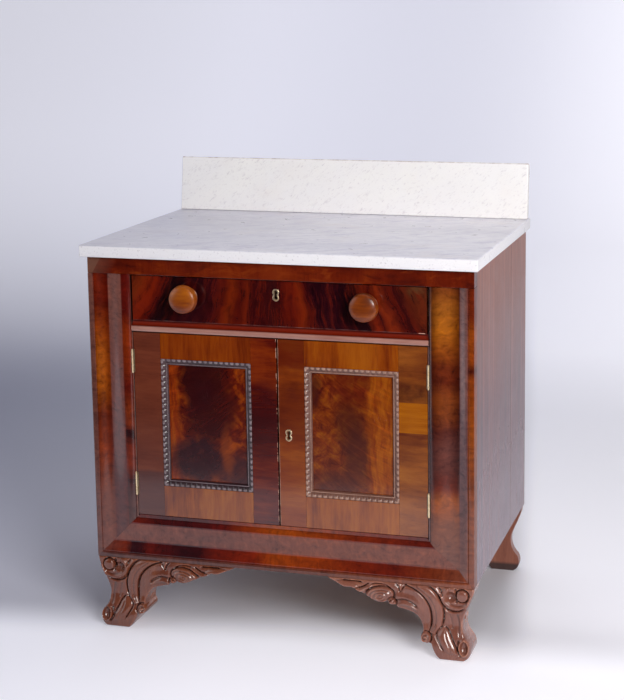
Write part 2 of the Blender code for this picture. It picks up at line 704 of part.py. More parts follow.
def build_drawer():
    pivot = pivot_at("drawer_travel", (0, face, drawer_bottom))
    pieces = []
    panel_low = drawer_bottom + DRAWER_FLOOR_UP
    panel_high = panel_low + DRAWER_FLOOR_THICK
    floor_half = drawer_inside + DRAWER_GROOVE - FIT

    board = box("drawer_front", (-drawer_half, drawer_half), (face, frame_back), (drawer_bottom, drawer_top))
    groove = box("front_groove", (-floor_half - FIT, floor_half + FIT),
                 (frame_back - DRAWER_FRONT_GROOVE - FIT, frame_back + OVERRUN),
                 (panel_low - FIT, panel_high + FIT))
    mortise = box("drawer_lock_mortise", (-LOCK_WIDTH / 2 - FIT, LOCK_WIDTH / 2 + FIT),
                  (lock_front - FIT, frame_back + OVERRUN),
                  (drawer_top - LOCK_HEIGHT - FIT, drawer_top + OVERRUN))
    holes = [rod("spigot_hole", (side * knob_x, (face + frame_back) / 2,
                                 drawer_bottom + KNOB_RISE),
                 SPIGOT_RADIUS + 2 * FIT, board_thick + 2 * OVERRUN, "Y", 24) for side in (-1, 1)]
    sockets = []
    for side in (-1, 1):
        outline, low, high, shoulder = tail_outline(FIT)
        for i in range(TAIL_COUNT):
            four = outline[4 * i:4 * i + 4]
            four = [four[0], four[1], four[2], four[3]]
            near, far = span(side, drawer_inside - FIT, drawer_half + OVERRUN)
            slope = TAIL_FLARE / (shoulder - four[1][0])
            four[0] = (shoulder + OVERRUN, four[0][1] + slope * OVERRUN)
            four[3] = (shoulder + OVERRUN, four[3][1] - slope * OVERRUN)
            sockets.append(extruded("tail_socket", four, "X", near, far))
    cut(board, groove, mortise, *holes, *sockets, *keyhole_cutters(0, drawer_keyhole))
    pieces.append(paint(board, WALNUT_RED))

    for side in (-1, 1):
        outline, low, high, shoulder = tail_outline(0)
        outline = ([(carcass_back - FIT, high), (carcass_back - FIT, low), (shoulder, low)]
                   + outline + [(shoulder, high)])
        near, far = span(side, drawer_inside, drawer_half)
        wall = extruded(f"drawer_side_{side_name(side)}", outline, "X", near, far)
        slot = box("side_groove", span(side, drawer_inside - OVERRUN, drawer_inside + DRAWER_GROOVE),
                   (frame_back - DRAWER_FRONT_GROOVE - FIT, carcass_back + OVERRUN),
                   (panel_low - FIT, panel_high + FIT))
        pieces.append(paint(cut(wall, slot), PINE))

    wall = box("drawer_back", (-drawer_inside + FIT, drawer_inside - FIT),
               (carcass_back - FIT - DRAWER_BACK_THICK, carcass_back - FIT),
               (panel_high + FIT, drawer_top - DRAWER_BACK_DROP))
    pieces.append(paint(ease(wall, EDGE), PINE))
    sheet = box("drawer_bottom", (-floor_half, floor_half),
                (frame_back - DRAWER_FRONT_GROOVE, carcass_back - FIT), (panel_low, panel_high))
    pieces.append(paint(sheet, PINE))

    for side in (-1, 1):
        profile = [(r * KNOB_RADIUS, h * KNOB_LENGTH) for r, h in KNOB_PROFILE_SHARES]
        profile[-1] = (profile[-1][0], FIT)
        profile += [(SPIGOT_RADIUS, FIT), (SPIGOT_RADIUS, -board_thick), (0, -board_thick)]
        knob = turned(f"drawer_knob_{side_name(side)}", profile,
                      (side * knob_x, face, drawer_bottom + KNOB_RISE), (pi / 2, 0, 0), 28)
        pieces.append(paint(knob, KNOB_WOOD))

    pieces.append(build_escutcheon("drawer_escutcheon", 0, drawer_keyhole))
    lock = box("drawer_lock", (-LOCK_WIDTH / 2, LOCK_WIDTH / 2), (lock_front, frame_back),
               (drawer_top - LOCK_HEIGHT, drawer_top))
    bolt_half = LOCK_BOLT_WIDTH / 2
    bolt_low = drawer_top - LOCK_BOLT_LENGTH
    channel = box("drawer_bolt_channel", (-bolt_half - FIT, bolt_half + FIT),
                  (bolt_front - FIT, bolt_back + FIT), (bolt_low - FIT, drawer_top + OVERRUN))
    key_way = extruded("drawer_lock_keyway", keyhole(FIT, 0, drawer_keyhole), "Y",
                       lock_front - OVERRUN, bolt_front)
    pieces.append(paint(cut(lock, channel, key_way), IRON))
    for piece in pieces:
        hang(piece, pivot)

    bolt = box("drawer_bolt", (-bolt_half, bolt_half), (bolt_front, bolt_back),
               (bolt_low, drawer_top))
    paint(ease(bolt, EDGE / 2), BRASS)
    hang(bolt, pivot)


# Hinges
def hinge_mortise(side, level, into):
    """Pocket for a leaf: into is 1 for the frame's leaf and -1 for the door's."""
    depth = HINGE_LEAF_THICK + FIT
    surface = jamb if into > 0 else door_outer
    near, far = (surface - OVERRUN / 4, surface + depth) if into > 0 else (
        surface - depth, surface + OVERRUN / 4)
    half = HINGE_LENGTH / 2 + FIT
    return box("hinge_mortise", span(side, near, far),
               (pin_y + PIN_RADIUS - FIT, pin_y + PIN_RADIUS + HINGE_LEAF_WIDTH + FIT),
               (level - half, level + half))


def build_leaf(side, level, where, into):
    """One leaf of a butt hinge: the frame's has the two end knuckles, the door's the middle one."""
    name = f"hinge_{where}_{side_name(side)}_{'frame' if into > 0 else 'door'}_leaf"
    surface = jamb if into > 0 else door_outer
    near, far = (surface, surface + HINGE_LEAF_THICK) if into > 0 else (
        surface - HINGE_LEAF_THICK, surface)
    start = pin_y + PIN_RADIUS
    leaf = box(name, span(side, near, far), (start, start + HINGE_LEAF_WIDTH),
               (level - HINGE_LENGTH / 2, level + HINGE_LENGTH / 2))
    knuckle = HINGE_LENGTH / 3
    long = knuckle - 2 * FIT
    middles = (level - knuckle, level + knuckle) if into > 0 else (level,)
    for middle in middles:
        barrel = rod("knuckle", (side * pin_x, pin_y, middle), KNUCKLE_RADIUS, long, "Z", 16)
        root = pin_x + into * (PIN_RADIUS + 2 * PIN_PLAY)
        tip = (near + far) / 2
        web = box("knuckle_web", span(side, min(root, tip), max(root, tip)),
                  (start + 2 * PIN_PLAY, start + HINGE_LEAF_THICK), (middle - long / 2 + FIT, middle + long / 2 - FIT))
        join(leaf, barrel, web)
    bore = rod("pin_bore", (side * pin_x, pin_y, level), PIN_RADIUS + PIN_PLAY, HINGE_LENGTH + 2 * OVERRUN,
               "Z", 16)
    return paint(cut(leaf, bore), BRASS)


def build_pin(side, level, where):
    half = HINGE_LENGTH / 2
    seat = half + FIT
    profile = [(0, seat + PIN_HEAD_LONG), (PIN_HEAD_RADIUS * 0.7, seat + PIN_HEAD_LONG),
               (PIN_HEAD_RADIUS, seat + PIN_HEAD_LONG / 2), (PIN_HEAD_RADIUS, seat), (PIN_RADIUS, seat)]
    profile += [(radius, -height) for radius, height in reversed(profile)]
    pin = turned(f"hinge_{where}_{side_name(side)}_pin", profile, (side * pin_x, pin_y, level), (0, 0, 0), 12)
    return paint(pin, BRASS)


# Doors
def ripple_section(share):
    """Section of the panel moulding: (distance inwards, rise above its bed), share 1 on a wave's crest."""
    rise = PANEL_SETBACK + RIPPLE_PROUD - FIT
    drop = RIPPLE_WAVE * (1 - share)
    slope = RIPPLE_WIDTH - RIPPLE_BEAD
    return [
        (0, 0), (0, rise - drop), (slope / 2, rise - drop - RIPPLE_WAVE / 2),
        (slope, RIPPLE_INNER + (rise - RIPPLE_INNER) / 3 - drop),
        (slope + RIPPLE_BEAD / 2, RIPPLE_INNER + RIPPLE_WAVE), (RIPPLE_WIDTH, RIPPLE_INNER), (RIPPLE_WIDTH, 0),
    ]


def wave_at(along):
    """0 in a trough of the ripple and 1 on a crest, for a distance from the nearest mitre."""
    halves = along / (RIPPLE_PITCH / 2)
    part = halves - int(halves)
    return part if int(halves) % 2 == 0 else 1 - part


def ripple_stations(length):
    """Distances along one strip: troughs and crests counted from both mitres."""
    half_wave = RIPPLE_PITCH / 2
    count = int((length / 2 - half_wave / 2) / half_wave)
    near = sorted([half_wave * k for k in range(count + 1)] + [RIPPLE_WIDTH])
    return near + [length - along for along in reversed(near)][:-1]


def ripple_loops(low_x, high_x, low_z, high_z):
    """Loops of (x, z, rise) points round the panel: each wave runs straight across its strip."""
    corners = [((low_x, low_z), (1, 0)), ((high_x, low_z), (0, 1)),
               ((high_x, high_z), (-1, 0)), ((low_x, high_z), (0, -1))]
    loops = []
    for (x, z), (dx, dz) in corners:
        length = high_x - low_x if dx else high_z - low_z
        for along in ripple_stations(length):
            reach = min(along, length - along)
            share = wave_at(reach)
            loop = []
            for inward, rise in ripple_section(share):
                depth = min(inward, reach)
                if inward > reach and rise > 0:
                    rise = rise_at(depth, share)
                loop.append((x + dx * along - dz * depth, z + dz * along + dx * depth, rise))
            loops.append((loop, reach))
    return loops


def rise_at(depth, share):
    """Height of the moulding's face at a distance inwards, for waves that a mitre cuts off."""
    top = ripple_section(share)[1:-1]
    for (s0, h0), (s1, h1) in zip(top, top[1:]):
        if depth <= s1:
            return h0 + (h1 - h0) * (depth - s0) / (s1 - s0)
    return top[-1][1]


def build_ripple(side, xs, zs):
    """A loft round the panel between unlike sections, closed on itself."""
    loops = ripple_loops(xs[0], xs[1], zs[0], zs[1])
    bed = panel_front - FIT
    work = bmesh.new()
    rings = [([work.verts.new((x, bed - rise, z)) for x, z, rise in loop], reach) for loop, reach in loops]
    last = len(rings[0][0]) - 1
    for (ring, reach), (after, reach_after) in zip(rings, rings[1:] + rings[:1]):
        on_mitre = max(reach, reach_after) < RIPPLE_WIDTH + FIT
        for i in range(last + 1):
            if on_mitre and i == last - 1:
                continue
            j = (i + 1) % (last + 1)
            work.faces.new((ring[i], ring[j], after[j], after[i]))
    bmesh.ops.remove_doubles(work, verts=work.verts, dist=FIT / 30)
    bmesh.ops.dissolve_degenerate(work, edges=work.edges, dist=FIT / 30)
    bmesh.ops.triangulate(work, faces=[f for f in work.faces if len(f.verts) > 3])
    bmesh.ops.recalc_face_normals(work, faces=work.faces)
    mesh = bpy.data.meshes.new(f"ripple_moulding_{side_name(side)}")
    work.to_mesh(mesh)
    work.free()
    return paint(place(bpy.data.objects.new(mesh.name, mesh)), CARVED)


def door_rail(side, name, zs, groove_at, xs):
    """A rail with a tenon at each end and a groove for the panel."""
    middle = panel_front + PANEL_THICK / 2
    rail = box(name, span(side, *xs), (face, frame_back), zs)
    tenon = box("tenon", span(side, xs[0] - TENON_LENGTH, xs[1] + TENON_LENGTH),
                (middle - TENON_THICK / 2, middle + TENON_THICK / 2),
                (zs[0] + TENON_SHOULDER, zs[1] - TENON_SHOULDER))
    groove = box("rail_groove", span(side, xs[0] - OVERRUN, xs[1] + OVERRUN),
                 (panel_front - FIT, panel_front + PANEL_THICK + FIT),
                 (groove_at - PANEL_TONGUE - FIT, groove_at + PANEL_TONGUE + FIT))
    return paint(cut(join(rail, tenon), groove), ORANGE_RED)


def mortise_cutters(side, edge, inward, rails):
    """Mortises and the panel groove in a stile whose inner edge is at edge."""
    middle = panel_front + PANEL_THICK / 2
    made = []
    deep = edge - inward * (TENON_LENGTH + 2 * FIT)
    mouth = edge + inward * OVERRUN
    near, far = min(deep, mouth), max(deep, mouth)
    for low, high in rails:
        made.append(box("mortise", span(side, near, far),
                        (middle - TENON_THICK / 2 - FIT, middle + TENON_THICK / 2 + FIT),
                        (low + TENON_SHOULDER - FIT, high - TENON_SHOULDER + FIT)))
    bed = edge - inward * (PANEL_TONGUE + FIT)
    near, far = min(bed, mouth), max(bed, mouth)
    made.append(box("stile_groove", span(side, near, far),
                    (panel_front - FIT, panel_front + PANEL_THICK + FIT),
                    (rails[0][1] - PANEL_TONGUE - FIT, rails[1][0] + PANEL_TONGUE + FIT)))
    return made


def build_door(side):
    name = side_name(side)
    pivot = pivot_at(f"door_hinge_{name}", (side * pin_x, pin_y, door_bottom))
    zs = (door_bottom, door_top)
    lower_rail = (door_bottom, door_bottom + DOOR_BOTTOM_RAIL)
    upper_rail = (door_top - DOOR_TOP_RAIL, door_top)
    rails = (lower_rail, upper_rail)
    inner = door_inner + INNER_STILE
    outer = door_outer - OUTER_STILE
    pieces = []

    stile = box(f"door_{name}_outer_stile", span(side, outer, door_outer), (face, frame_back), zs)
    cut(stile, *mortise_cutters(side, outer, -1, rails))
    cut(stile, *[hinge_mortise(side, level, -1) for level in (lower_hinge, upper_hinge)])
    pieces.append(paint(stile, WALNUT_RED))

    stile = box(f"door_{name}_inner_stile", span(side, door_inner, inner), (face, frame_back), zs)
    cut(stile, *mortise_cutters(side, inner, 1, rails))
    if side > 0:
        cut(stile, *door_lock_cutters(), *keyhole_cutters(door_keyhole_x, door_keyhole))
    else:
        cut(stile, *left_stile_cutters())
    pieces.append(paint(stile, WALNUT_RED))

    between = (inner + FIT, outer - FIT)
    pieces.append(door_rail(side, f"door_{name}_bottom_rail", lower_rail, lower_rail[1], between))
    pieces.append(door_rail(side, f"door_{name}_top_rail", upper_rail, upper_rail[0], between))
    panel = box(f"door_{name}_panel", span(side, inner - PANEL_TONGUE, outer + PANEL_TONGUE),
                (panel_front, panel_front + PANEL_THICK),
                (lower_rail[1] - PANEL_TONGUE, upper_rail[0] + PANEL_TONGUE))
    pieces.append(paint(panel, ORANGE_RED))
    opening = span(side, inner + FIT, outer - FIT)
    pieces.append(build_ripple(side, opening, (lower_rail[1] + FIT, upper_rail[0] - FIT)))
    for where, level in (("lower", lower_hinge), ("upper", upper_hinge)):
        pieces.append(build_leaf(side, level, where, -1))
        build_leaf(side, level, where, 1)
        build_pin(side, level, where)
    if side > 0:
        pieces += build_door_lock()
    else:
        pieces += build_latch()
    for piece in pieces:
        hang(piece, pivot)


def door_lock_ranges():
    half = LOCK_HEIGHT / 2
    return (door_inner, door_inner + DOOR_LOCK_WIDTH), (door_keyhole - half, door_keyhole + half)


def door_lock_cutters():
    xs, zs = door_lock_ranges()
    return [box("door_lock_mortise", (xs[0] - OVERRUN, xs[1] + FIT), (lock_front - FIT, frame_back + OVERRUN),
                (zs[0] - FIT, zs[1] + FIT))]


def build_door_lock():
    xs, zs = door_lock_ranges()
    half = LOCK_BOLT_WIDTH / 2
    end = door_inner + LOCK_BOLT_LENGTH
    lock = box("door_lock", xs, (lock_front, frame_back), zs)
    channel = box("door_bolt_channel", (door_inner - OVERRUN, end + FIT), (bolt_front - FIT, bolt_back + FIT),
                  (door_keyhole - half - FIT, door_keyhole + half + FIT))
    key_way = extruded("door_lock_keyway", keyhole(FIT, door_keyhole_x, door_keyhole), "Y",
                       lock_front - OVERRUN, bolt_front)
    paint(cut(lock, channel, key_way), IRON)
    bolt = box("door_bolt", (door_inner, end), (bolt_front, bolt_back),
               (door_keyhole - half, door_keyhole + half))
    paint(ease(bolt, EDGE / 2), BRASS)
    ring = build_escutcheon("door_escutcheon", door_keyhole_x, door_keyhole)
    return [lock, bolt, ring]


def left_stile_cutters():
    """The keep for the right door's bolt, and the pocket of the left door's own bolt."""
    half = LOCK_BOLT_WIDTH / 2 + 2 * FIT
    keep = box("bolt_keep", (-door_inner - LOCK_BOLT_THROW, -door_inner + OVERRUN),
               (bolt_front - 2 * FIT, bolt_back + 2 * FIT), (door_keyhole - half, door_keyhole + half))
    middle = -(door_inner + LATCH_IN)
    pocket = box("latch_pocket", (middle - LATCH_WIDTH / 2 - FIT, middle + LATCH_WIDTH / 2 + FIT),
                 (lock_front - FIT, frame_back + OVERRUN), (door_top - LATCH_HEIGHT - FIT, door_top + OVERRUN))
    return [keep, pocket]


def build_latch():
    """The left door's bolt: a plate let into the stile, and a bar with a thumb knob."""
    middle = -(door_inner + LATCH_IN)
    low = door_top - LATCH_HEIGHT
    bar_low = door_top - LATCH_BAR_LENGTH
    knob_level = (bar_low + door_top) / 2 - LATCH_THROW
    plate = box("left_door_bolt_plate", (middle - LATCH_WIDTH / 2, middle + LATCH_WIDTH / 2),
                (lock_front, frame_back), (low, door_top))
    channel = box("latch_channel", latch_span(FIT), (latch_front - FIT, latch_back + FIT),
                  (bar_low - FIT, door_top + OVERRUN))
    half = LATCH_KNOB_RADIUS + FIT
    window = box("latch_window", (middle - half, middle + half), (latch_back - OVERRUN / 4, frame_back + OVERRUN),
                 (knob_level - half, knob_level + LATCH_THROW + half))
    paint(cut(plate, channel, window), BRASS)
    bar = box("left_door_bolt", latch_span(0), (latch_front, latch_back), (bar_low, door_top))
    reach = frame_back + LATCH_KNOB_LONG
    thumb_from = (latch_front + latch_back) / 2
    thumb = rod("latch_thumb", (middle, (thumb_from + reach) / 2, knob_level), LATCH_KNOB_RADIUS,
                reach - thumb_from, "Y", 12)
    paint(join(bar, thumb), BRASS)
    return [plate, bar]


# Feet
def on_foot(side, shares):
    """Point of a front foot given as shares of its width, from the outer edge, and of its height."""
    return side * (case_half - shares[0] * FOOT_WIDTH), shares[1] * FOOT_HEIGHT


def foot_outline():
    line = []
    for run in FOOT_OUTLINE_SHARES:
        steps = CURVE_STEPS if len(run) > 2 else 1
        line += smooth(run, steps)[:-1]
    line.append(Vector(FOOT_OUTLINE_SHARES[-1][-1]))
    return line


def foot_top(z):
    return min(z, FOOT_HEIGHT - FIT)


def disc(side, shares, radius, rise, sides, deep):
    """A low round boss on the front of a foot, with a dished edge."""
    x, z = on_foot(side, shares)
    boss = rod("boss", (x, front + deep / 2 - rise / 2, z), radius, deep + rise, "Y", sides)
    return ease(boss, rise / 2)


def dome(side, shares, width, height, rise):
    """A rounded boss: part of a flattened ball."""
    x, z = on_foot(side, shares)
    bpy.ops.mesh.primitive_uv_sphere_add(segments=16, ring_count=8, radius=1)
    ball = bpy.context.object
    ball.name = "dome"
    ball.location = (x, front + rise, z)
    ball.rotation_euler = (pi / 2, 0, 0)
    ball.scale = (width / 2, height / 2, 2 * rise)
    apply_scale(ball)
    return place(ball)


def scroll(side, knots):
    """A raised band of the C-scroll, half sunk in the front of the foot."""
    lift = front + SCROLL_RADIUS * SCROLL_RAISE_SHARE
    path = [(x, lift, z) for x, z in (on_foot(side, p) for p in smooth(knots, 2))]
    return tube("scroll_band", path, SCROLL_RADIUS)


def build_front_foot(side):
    outline = [on_foot(side, p) for p in foot_outline()]
    outline = [(x, foot_top(z)) for x, z in outline]
    foot = extruded(f"front_foot_{side_name(side)}", outline, "Y", front, front + FOOT_THICK)
    ease(foot, SOFT_EDGE)
    waste = box("bracket_back", span(side, case_half - FOOT_WIDTH - OVERRUN, case_half - BLOCK_WIDTH),
                (front + BRACKET_THICK, front + FOOT_THICK + OVERRUN), (-OVERRUN, FOOT_HEIGHT + OVERRUN))
    cut(foot, waste)
    tab_edge = inner_half - FIT
    tab = box("foot_tab", span(side, tab_edge - FOOT_TAB_WIDTH, tab_edge),
              (behind_frame, front + FOOT_THICK - FIT), (FOOT_HEIGHT / 2, floor_bottom - FIT))
    bosses = [
        disc(side, ROUNDEL_SHARES, ROUNDEL_RADIUS, ROUNDEL_RISE, 20, SOFT_EDGE * 3),
        disc(side, TOE_SHARES, TOE_RADIUS, ROUNDEL_RISE, 16, SOFT_EDGE * 3),
        dome(side, VOLUTE_SHARES, 2 * VOLUTE_RADIUS, 2 * VOLUTE_RADIUS, VOLUTE_RISE),
        dome(side, BEAD_SHARES, 2 * BEAD_RADIUS, 2 * BEAD_RADIUS, VOLUTE_RISE),
        dome(side, CABOCHON_SHARES, CABOCHON_WIDTH, CABOCHON_HEIGHT, CABOCHON_RISE),
        scroll(side, SCROLL_OUTER_SHARES), scroll(side, SCROLL_INNER_SHARES),
    ]
    paint(join(foot, tab, *bosses), CARVED)


def build_rear_foot(side):
    outer = smooth([(u * FOOT_WIDTH, v * FOOT_HEIGHT) for u, v in FOOT_OUTLINE_SHARES[0]], 2)
    inner = smooth([(u * REAR_FOOT_WIDTH, v * FOOT_HEIGHT) for u, v in REAR_FOOT_INNER_SHARES], 2)
    tab_outer = SIDE_THICK + FIT + EDGE
    tab_inner = tab_outer + FOOT_TAB_WIDTH
    top = FOOT_HEIGHT - FIT
    outline = [(case_half - u, foot_top(v)) for u, v in outer + inner]
    high = floor_bottom - FIT
    outline += [(case_half - tab_inner, top), (case_half - tab_inner, high), (case_half - tab_outer, high),
                (case_half - tab_outer, top)]
    outline = [(side * x, z) for x, z in outline]
    foot = extruded(f"rear_foot_{side_name(side)}", outline, "Y", carcass_back - REAR_FOOT_THICK, carcass_back)
    paint(ease(foot, EDGE), CARVED)


build_sides()
build_back()
build_rails()
build_frame()
build_divider()
build_runners()
build_marble()
build_drawer()
for hand in (-1, 1):
    build_door(hand)
    build_front_foot(hand)
    build_rear_foot(hand)
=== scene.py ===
"""Washstand: finer pieces, materials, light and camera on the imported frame.

Metres, +Z up, X to the right as seen from the front, the front faces -Y.
"""

from math import cos, pi, radians, sin, sqrt

import bmesh
import bpy
import numpy as np
from mathutils import Matrix, Vector
from mathutils.geometry import delaunay_2d_cdt


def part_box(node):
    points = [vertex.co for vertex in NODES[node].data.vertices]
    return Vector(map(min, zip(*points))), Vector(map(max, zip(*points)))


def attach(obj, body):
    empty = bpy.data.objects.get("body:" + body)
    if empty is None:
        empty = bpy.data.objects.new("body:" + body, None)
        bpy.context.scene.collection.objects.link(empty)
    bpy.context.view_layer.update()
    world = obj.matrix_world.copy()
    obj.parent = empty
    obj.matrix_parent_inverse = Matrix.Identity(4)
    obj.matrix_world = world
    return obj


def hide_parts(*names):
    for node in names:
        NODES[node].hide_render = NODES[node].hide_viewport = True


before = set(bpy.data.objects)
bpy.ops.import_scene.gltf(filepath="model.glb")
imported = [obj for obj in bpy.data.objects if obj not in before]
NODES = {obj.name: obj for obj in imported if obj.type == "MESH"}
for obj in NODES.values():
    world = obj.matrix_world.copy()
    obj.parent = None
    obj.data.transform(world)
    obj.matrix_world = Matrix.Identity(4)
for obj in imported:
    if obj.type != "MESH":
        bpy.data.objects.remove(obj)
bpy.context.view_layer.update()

MM = 0.001


def low(node):
    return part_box(node)[0]


def high(node):
    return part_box(node)[1]


# Places read from the frame
FRONT = low("frame_moulding_bottom").y + 0.002
CASE_HALF = high("side_panel_right").x
CASE_BOTTOM = low("side_panel_right").z
RAIL_BOTTOM = low("top_rail_front").z
FRAME_WIDTH = high("frame_moulding_bottom").z - CASE_BOTTOM
FRAME_BACK = high("frame_moulding_bottom").y
FACE = low("drawer_front").y
SIDES = (("left", -1), ("right", 1))


# Meshes
def placed(name, data):
    """A new object in the scene."""
    obj = bpy.data.objects.new(name, data)
    bpy.context.scene.collection.objects.link(obj)
    return obj


def soften(mesh, angle):
    """Shades a mesh smooth but for edges sharper than the angle, in degrees."""
    mesh.shade_smooth()
    mesh.set_sharp_from_angle(angle=radians(angle))


def piece(name, verts, faces, smooth_to=None):
    mesh = bpy.data.meshes.new(name)
    mesh.from_pydata([tuple(v) for v in verts], [], [tuple(f) for f in faces])
    mesh.validate()
    obj = placed(name, mesh)
    work = bmesh.new()
    work.from_mesh(mesh)
    bmesh.ops.recalc_face_normals(work, faces=work.faces)
    work.to_mesh(mesh)
    work.free()
    if smooth_to is not None:
        soften(mesh, smooth_to)
    return obj


def add_box(work, lo, hi):
    """Adds a box between two corners."""
    for v in bmesh.ops.create_cube(work, size=1)["verts"]:
        v.co = Vector([lo[i] + (hi[i] - lo[i]) * (v.co[i] + 0.5) for i in range(3)])


def new_mesh(name, work):
    mesh = bpy.data.meshes.new(name)
    work.to_mesh(mesh)
    work.free()
    return mesh


def apply_modifiers(obj):
    bpy.context.view_layer.update()
    seen = obj.evaluated_get(bpy.context.evaluated_depsgraph_get())
    done, old = bpy.data.meshes.new_from_object(seen), obj.data
    obj.modifiers.clear()
    obj.data = done
    bpy.data.meshes.remove(old)


def notch(obj, lo, hi):
    """Cuts a box out of a piece."""
    work = bmesh.new()
    add_box(work, lo, hi)
    mesh = new_mesh("cutter", work)
    cutter = placed("cutter", mesh)
    modifier = obj.modifiers.new("cut", "BOOLEAN")
    modifier.operation, modifier.solver, modifier.object = "DIFFERENCE", "EXACT", cutter
    apply_modifiers(obj)
    bpy.data.objects.remove(cutter, do_unlink=True)
    bpy.data.meshes.remove(mesh)


def catmull(knots, steps):
    """Points of a smooth curve through the knots."""
    out, last = [], len(knots) - 1
    for i in range(last):
        p0, p1, p2, p3 = (np.array(knots[min(max(j, 0), last)], float) for j in (i - 1, i, i + 1, i + 2))
        for k in range(steps):
            t = k / steps
            out.append(0.5 * (2 * p1 + (p2 - p0) * t + (2 * p0 - 5 * p1 + 4 * p2 - p3) * t * t
                              + (3 * p1 - p0 - 3 * p2 + p3) * t ** 3))
    return out + [np.array(knots[-1], float)]


def tube_faces(rings, count, closed=False):
    """Quads between consecutive rings of the same number of points."""
    faces = []
    for i in range(rings if closed else rings - 1):
        a, b = i * count, ((i + 1) % rings) * count
        for j in range(count):
            k = (j + 1) % count
            faces.append((a + j, a + k, b + k, b + j))
    return faces


def capped(name, verts, rings, smooth_to):
    """A piece of rings of points with a face over each end."""
    count = len(verts) // rings
    ends = [tuple(range(count)), tuple(range(len(verts) - count, len(verts)))]
    return piece(name, verts, tube_faces(rings, count) + ends, smooth_to)


def revolved(name, profile, centre, steps):
    """A (radius, height) profile turned round an axis that points to -Y."""
    verts = []
    for r, h in profile:
        for k in range(steps):
            a = 2 * pi * k / steps
            verts.append((centre[0] + r * cos(a), centre[1] - h, centre[2] + r * sin(a)))
    return capped(name, verts, len(profile), 38)


# Mitred frame
def ease_run(start, end, count):
    (s0, h0), (s1, h1) = start, end
    return [(s0 + (s1 - s0) * k / count, h0 + (h1 - h0) * (1 - cos(pi * k / count)) / 2) for k in range(1, count + 1)]


def frame_section():
    start, dip, brow = (12.3 * MM, -0.5 * MM), (34 * MM, -9 * MM), (77 * MM, 2 * MM)
    run = [(s * MM, h * MM) for s, h in (
        (0, -0.5), (0.3, 0.35), (1.0, 0.6), (9.6, 0.6), (10.3, 0.2), (10.8, -0.9), (11.4, -1.4))]
    run += [start] + ease_run(start, dip, 18) + ease_run(dip, brow, 34)
    for k in range(1, 11):
        share = sin(pi / 2 * k / 10)
        run.append((77 * MM + 10.7 * MM * share, 2 * MM - 6 * MM * (1 - sqrt(max(1 - share * share, 0)))))
    return [(s, min(h, 2 * MM)) for s, h in run]


LIP_AT_DOORS, LIP_AT_DRAWER, LIP_BELOW_DOORS = 91.0 * MM, 89.2 * MM, 94.9 * MM


def thick_section(reach):
    """The moulding's whole section, with a thin lip that runs in as far as the reach."""
    depth = FRAME_BACK - FRONT
    lip = [(FRAME_WIDTH + 0.05 * MM, -4.3 * MM), (reach - 0.5 * MM, -4.4 * MM), (reach, -4.9 * MM)]
    return [(0, -depth)] + frame_section() + lip + [(reach, -depth)]


def frame_pieces():
    made = []
    gap, ease = 0.15 * MM, 0.3 * MM
    step_at, end_at = low("divider_moulding").z - 0.4 * MM, RAIL_BOTTOM - 0.3 * MM
    levels = [(k / 16, LIP_AT_DOORS) for k in range(17)] + [(1 + k / 6, LIP_AT_DRAWER) for k in range(7)]
    for word, side in SIDES:
        verts = []
        for share, reach in levels:
            for s, h in thick_section(reach):
                z0 = CASE_BOTTOM + s + gap
                z = z0 + (step_at - z0) * share if share <= 1 else step_at + (end_at - step_at) * (share - 1)
                verts.append((side * (CASE_HALF - s), FRONT - h, z))
        stile = capped("ogee_frame_" + word, verts, len(levels), 34)
        jamb = side * (CASE_HALF - FRAME_WIDTH)
        for level in ("lower", "upper"):
            lo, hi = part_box(f"hinge_{level}_{word}_frame_leaf")
            pin_lo, pin_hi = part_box(f"hinge_{level}_{word}_pin")
            notch(stile, (lo.x - ease, (pin_lo.y + pin_hi.y) / 2 + 0.7 * MM, lo.z - ease),
                  (hi.x + ease, hi.y + ease, hi.z + ease))
            ends = sorted((jamb, jamb - side * 4 * MM))
            notch(stile, (ends[0], pin_lo.y, lo.z - ease), (ends[1], FRAME_BACK + ease, hi.z + ease))
        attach(stile, "case")
        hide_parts("frame_moulding_" + word)
        made.append(stile)
    verts, steps = [], 30
    for i in range(steps + 1):
        for s, h in thick_section(LIP_BELOW_DOORS):
            reach = CASE_HALF - s - gap
            verts.append((-reach + 2 * reach * i / steps, FRONT - h, CASE_BOTTOM + s))
    foot = capped("ogee_frame_bottom", verts, steps + 1, 34)
    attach(foot, "case")
    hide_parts("frame_moulding_bottom")
    return made + [foot]


# Strip under the drawer
def strip_piece():
    """A cove over a half round."""
    lo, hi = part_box("divider_moulding")
    cove, radius, steps, grow = 10 * MM, 6 * MM, 20, 0.6 * MM
    turn, middle = lo.y + cove, hi.z - cove - radius
    run = [(hi.y, lo.z), (hi.y, hi.z), (turn + 0.4 * MM, hi.z), (turn, hi.z - 0.2 * MM)]
    for k in range(1, 20):
        a = pi / 2 * k / 20
        run.append((turn - cove * (1 - cos(a)) * 0.96, hi.z - cove * sin(a)))
    for k in range(19):
        a = pi * k / 18
        run.append((lo.y + 3 * MM * (1 - sin(a)) + 0.3 * MM, middle + radius * cos(a)))
    verts = []
    for i in range(steps + 1):
        x = (CASE_HALF - LIP_AT_DRAWER - 0.6 * MM) * (2 * i / steps - 1)
        verts += [(x, y, z) for y, z in run]
    strip = capped("cove_strip", verts, steps + 1, 34)
    latch_lo, latch_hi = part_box("left_door_bolt")
    notch(strip, (latch_lo.x - grow, latch_lo.y - grow, lo.z - 4 * MM),
          (latch_hi.x + grow, latch_lo.y + 6.2 * MM, latch_hi.z + 10.6 * MM))
    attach(strip, "case")
    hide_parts("divider_moulding")
    return strip


# Rippled mouldings round the panels
RIPPLE_PITCH, RIPPLE_DEPTH, RIPPLE_FINE = 11.5 * MM, 1.5 * MM, 0.25 * MM
STEPS_PER_WAVE = 12
